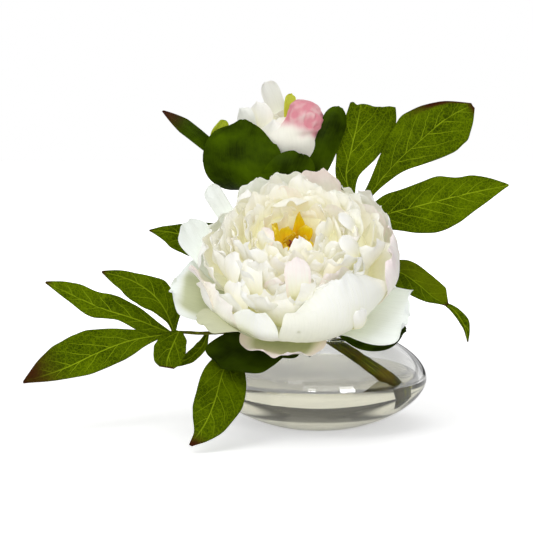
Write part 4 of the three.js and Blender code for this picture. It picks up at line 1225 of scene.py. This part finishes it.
def carpel_finish(effects):
    carpel = Finish("red_carpel", effects)
    cloud = carpel.mottle(300.0)
    base = carpel.ramp(cloud, [(0.3, (0.13, 0.012, 0.006)), (0.7, (0.38, 0.06, 0.02))])
    carpel.bump(cloud, 0.0004, 0.4)
    carpel.settle(Base_Color=base, Roughness=0.5)
    return carpel.material


def clear_finish(name, effects, colour, ior, unevenness):
    """Clear glass or water: plain transmission, with a trace of unevenness in its surface."""
    clear = Finish(name, effects)
    clear.bump(clear.mottle(unevenness, 1.0), 0.0004, 0.08)
    clear.settle(Base_Color=(*colour, 1), Roughness=0.0, IOR=ior, Transmission_Weight=1.0)
    return clear.material


def make_finishes():
    """Each finish by the material slot that it belongs to."""
    effects = {"veins": vein_effect(), "mottle": mottle_effect(), "creases": crease_effect()}
    return {
        "petal": petal_finish("silk_petal", effects, (0.88, 0.66, 0.68), 0.6, (0.46, 0.485, 0.25)),
        "bud_petal": petal_finish(
            "silk_bud_petal", effects, (0.77, 0.29, 0.35), 1.0, (0.55, 0.62, 0.04), (0.95, 0.945, 0.925)
        ),
        "leaf": leaf_finish(effects),
        "sepal": sepal_finish(effects),
        "stem": stem_finish(effects),
        "stamen": stamen_finish(effects),
        "carpel": carpel_finish(effects),
        "glass": clear_finish("clear_glass", effects, (0.98, 0.98, 0.965), 1.5, 30.0),
        "water": clear_finish("clear_water", effects, (0.76, 0.74, 0.61), 1.4, 20.0),
    }


# ---------------------------------------------------------------- studio
FLOOR_NEAR, FLOOR_FAR = 0.28, 0.6  # metres from the vase, where the floor turns from lit to plain white
DARK_TABLE = (0.05, 0.2)  # the floor's tone far behind the vase, left and right, as the glass shows it
AMBIENT = 0.42
AIM = (-0.02, 0, 0.1)  # what the lights point at, in metres
# Soft lights, with places and sizes in metres. The two small ones are what the glass mirrors.
SOFTBOXES = [
    {"name": "key", "place": (-0.8, -1.0, 1.2), "size": (0.9, 0.9), "power": 6.2},
    {"name": "front", "place": (0.1, -1.7, 0.45), "size": (1.3, 0.8), "power": 7.0},
    {"name": "top", "place": (0.0, 0.0, 1.4), "size": (1.2, 1.0), "power": 4.5},
    {"name": "window", "place": (0.76, -1.35, 0.3), "size": (0.42, 0.5), "power": 16, "mirrored": True},
    {"name": "lamp", "place": (-0.2, -1.5, 0.32), "size": (0.2, 0.1), "power": 2, "mirrored": True},
]


def floor_finish():
    """Pale near the vase, plain white further off, and dark far behind it, where only the glass shows it."""
    floor = Finish("pale_floor")
    place = floor.add("TexCoord")["Object"]
    away = floor.add("VectorMath", {0: place}, operation="LENGTH")["Value"]
    side, front, _ = floor.parts(place)
    rays = floor.add("LightPath")
    soft = floor.larger(rays["Is Camera Ray"], rays["Is Diffuse Ray"])
    glow = floor.times(floor.ranged(away, FLOOR_NEAR, FLOOR_FAR, 0.5, 1.0), rays["Is Camera Ray"])
    lit = floor.times(floor.ranged(front, -0.5, -0.1, 0.0, 0.2), floor.ranged(front, 0.3, 0.45, 1.0, 0.0))
    glow = floor.plus(glow, floor.times(lit, floor.minus(1.0, soft)))
    slant = floor.math("DIVIDE", side, floor.larger(front, 0.1))
    far = floor.ranged(slant, -0.6, -0.25, *DARK_TABLE)
    behind = floor.ranged(front, 0.3, 0.45)
    near = floor.ranged(front, -0.5, -0.1, 0.05, 0.85)
    shown = floor.add("Mix", {0: behind, 2: near, 3: far}, data_type="FLOAT")[0]
    tone = floor.larger(shown, floor.times(soft, 0.85))
    floor.settle(Base_Color=floor.grey(tone), Roughness=0.9, Specular_IOR_Level=0.0)
    floor.settle(Emission_Color=(1, 1, 1, 1), Emission_Strength=glow)
    return floor.material


def make_floor():
    mesh = bmesh.new()
    bmesh.ops.create_grid(mesh, x_segments=1, y_segments=1, size=3)
    bmesh.ops.translate(mesh, vec=(0, 0, -0.0002), verts=mesh.verts)
    data = bpy.data.meshes.new("floor")
    mesh.to_mesh(data)
    mesh.free()
    data.materials.append(floor_finish())
    floor = bpy.data.objects.new("floor", data)
    bpy.context.scene.collection.objects.link(floor)


def make_world():
    """White behind the vase, dim above it and behind the camera, so that glass has something dark to show."""
    world = bpy.data.worlds.new("studio")
    world.use_nodes = True
    bpy.context.scene.world = world
    air = Nodes(world.node_tree)
    _, y, z = air.parts(air.add("TexCoord")["Generated"])
    rays = air.add("LightPath")
    mirrored = air.times(air.ranged(y, 0.0, 0.5, 0.04, 1.05), air.ranged(z, 0.25, 0.6, 1.0, 0.08))
    mirrored = air.times(mirrored, air.ranged(z, 0.0, 0.05, 0.08, 1.0))
    seen = air.larger(mirrored, rays["Is Camera Ray"])
    level = air.add("Mix", {0: rays["Is Diffuse Ray"], 2: seen, 3: AMBIENT}, data_type="FLOAT")[0]
    background = air.add("Background", {"Color": (1, 1, 1, 1), "Strength": level})[0]
    air.add("OutputWorld", {"Surface": background})


def make_lights():
    for box in SOFTBOXES:
        mirrored = box.get("mirrored", False)
        light = bpy.data.lights.new(box["name"], "AREA")
        light.shape = "RECTANGLE"
        light.size, light.size_y = box["size"]
        light.energy = box["power"]
        lamp = bpy.data.objects.new(box["name"], light)
        lamp.location = box["place"]
        lamp.rotation_euler = (Vector(AIM) - Vector(box["place"])).to_track_quat("-Z", "Y").to_euler()
        lamp.visible_glossy = mirrored
        lamp.visible_diffuse = not mirrored
        bpy.context.scene.collection.objects.link(lamp)


def make_camera():
    elevation = math.radians(CAMERA["elevation"])
    view = Vector((0, math.cos(elevation), -math.sin(elevation)))
    camera = bpy.data.objects.new("camera", bpy.data.cameras.new("camera"))
    camera.data.lens = CAMERA["lens"]
    camera.data.sensor_width = CAMERA["sensor"]
    camera.location = (Vector(CAMERA["target"]) - view * CAMERA["distance"]) * MM
    camera.rotation_euler = view.to_track_quat("-Z", "Y").to_euler()
    bpy.context.scene.collection.objects.link(camera)
    bpy.context.scene.camera = camera


def set_colours():
    view = bpy.context.scene.view_settings
    view.view_transform = "Standard"
    view.look = "None"
    view.exposure = 0.0


def main():
    cad_box = load_frame()
    make_camera()
    finishes = make_finishes()
    make_vase(finishes)
    make_water(finishes)
    make_stem(finishes)
    for node in LEAVES:
        make_leaf(node, finishes)
    make_inner_petals(finishes)
    make_single_petals(finishes)
    make_outer_petals(finishes)
    make_stamens(finishes)
    make_carpels(finishes)
    make_bloom_sepals(finishes)
    make_bud_petals(finishes)
    make_bud_sepals(finishes)
    make_floor()
    make_world()
    make_lights()
    set_colours()


main()
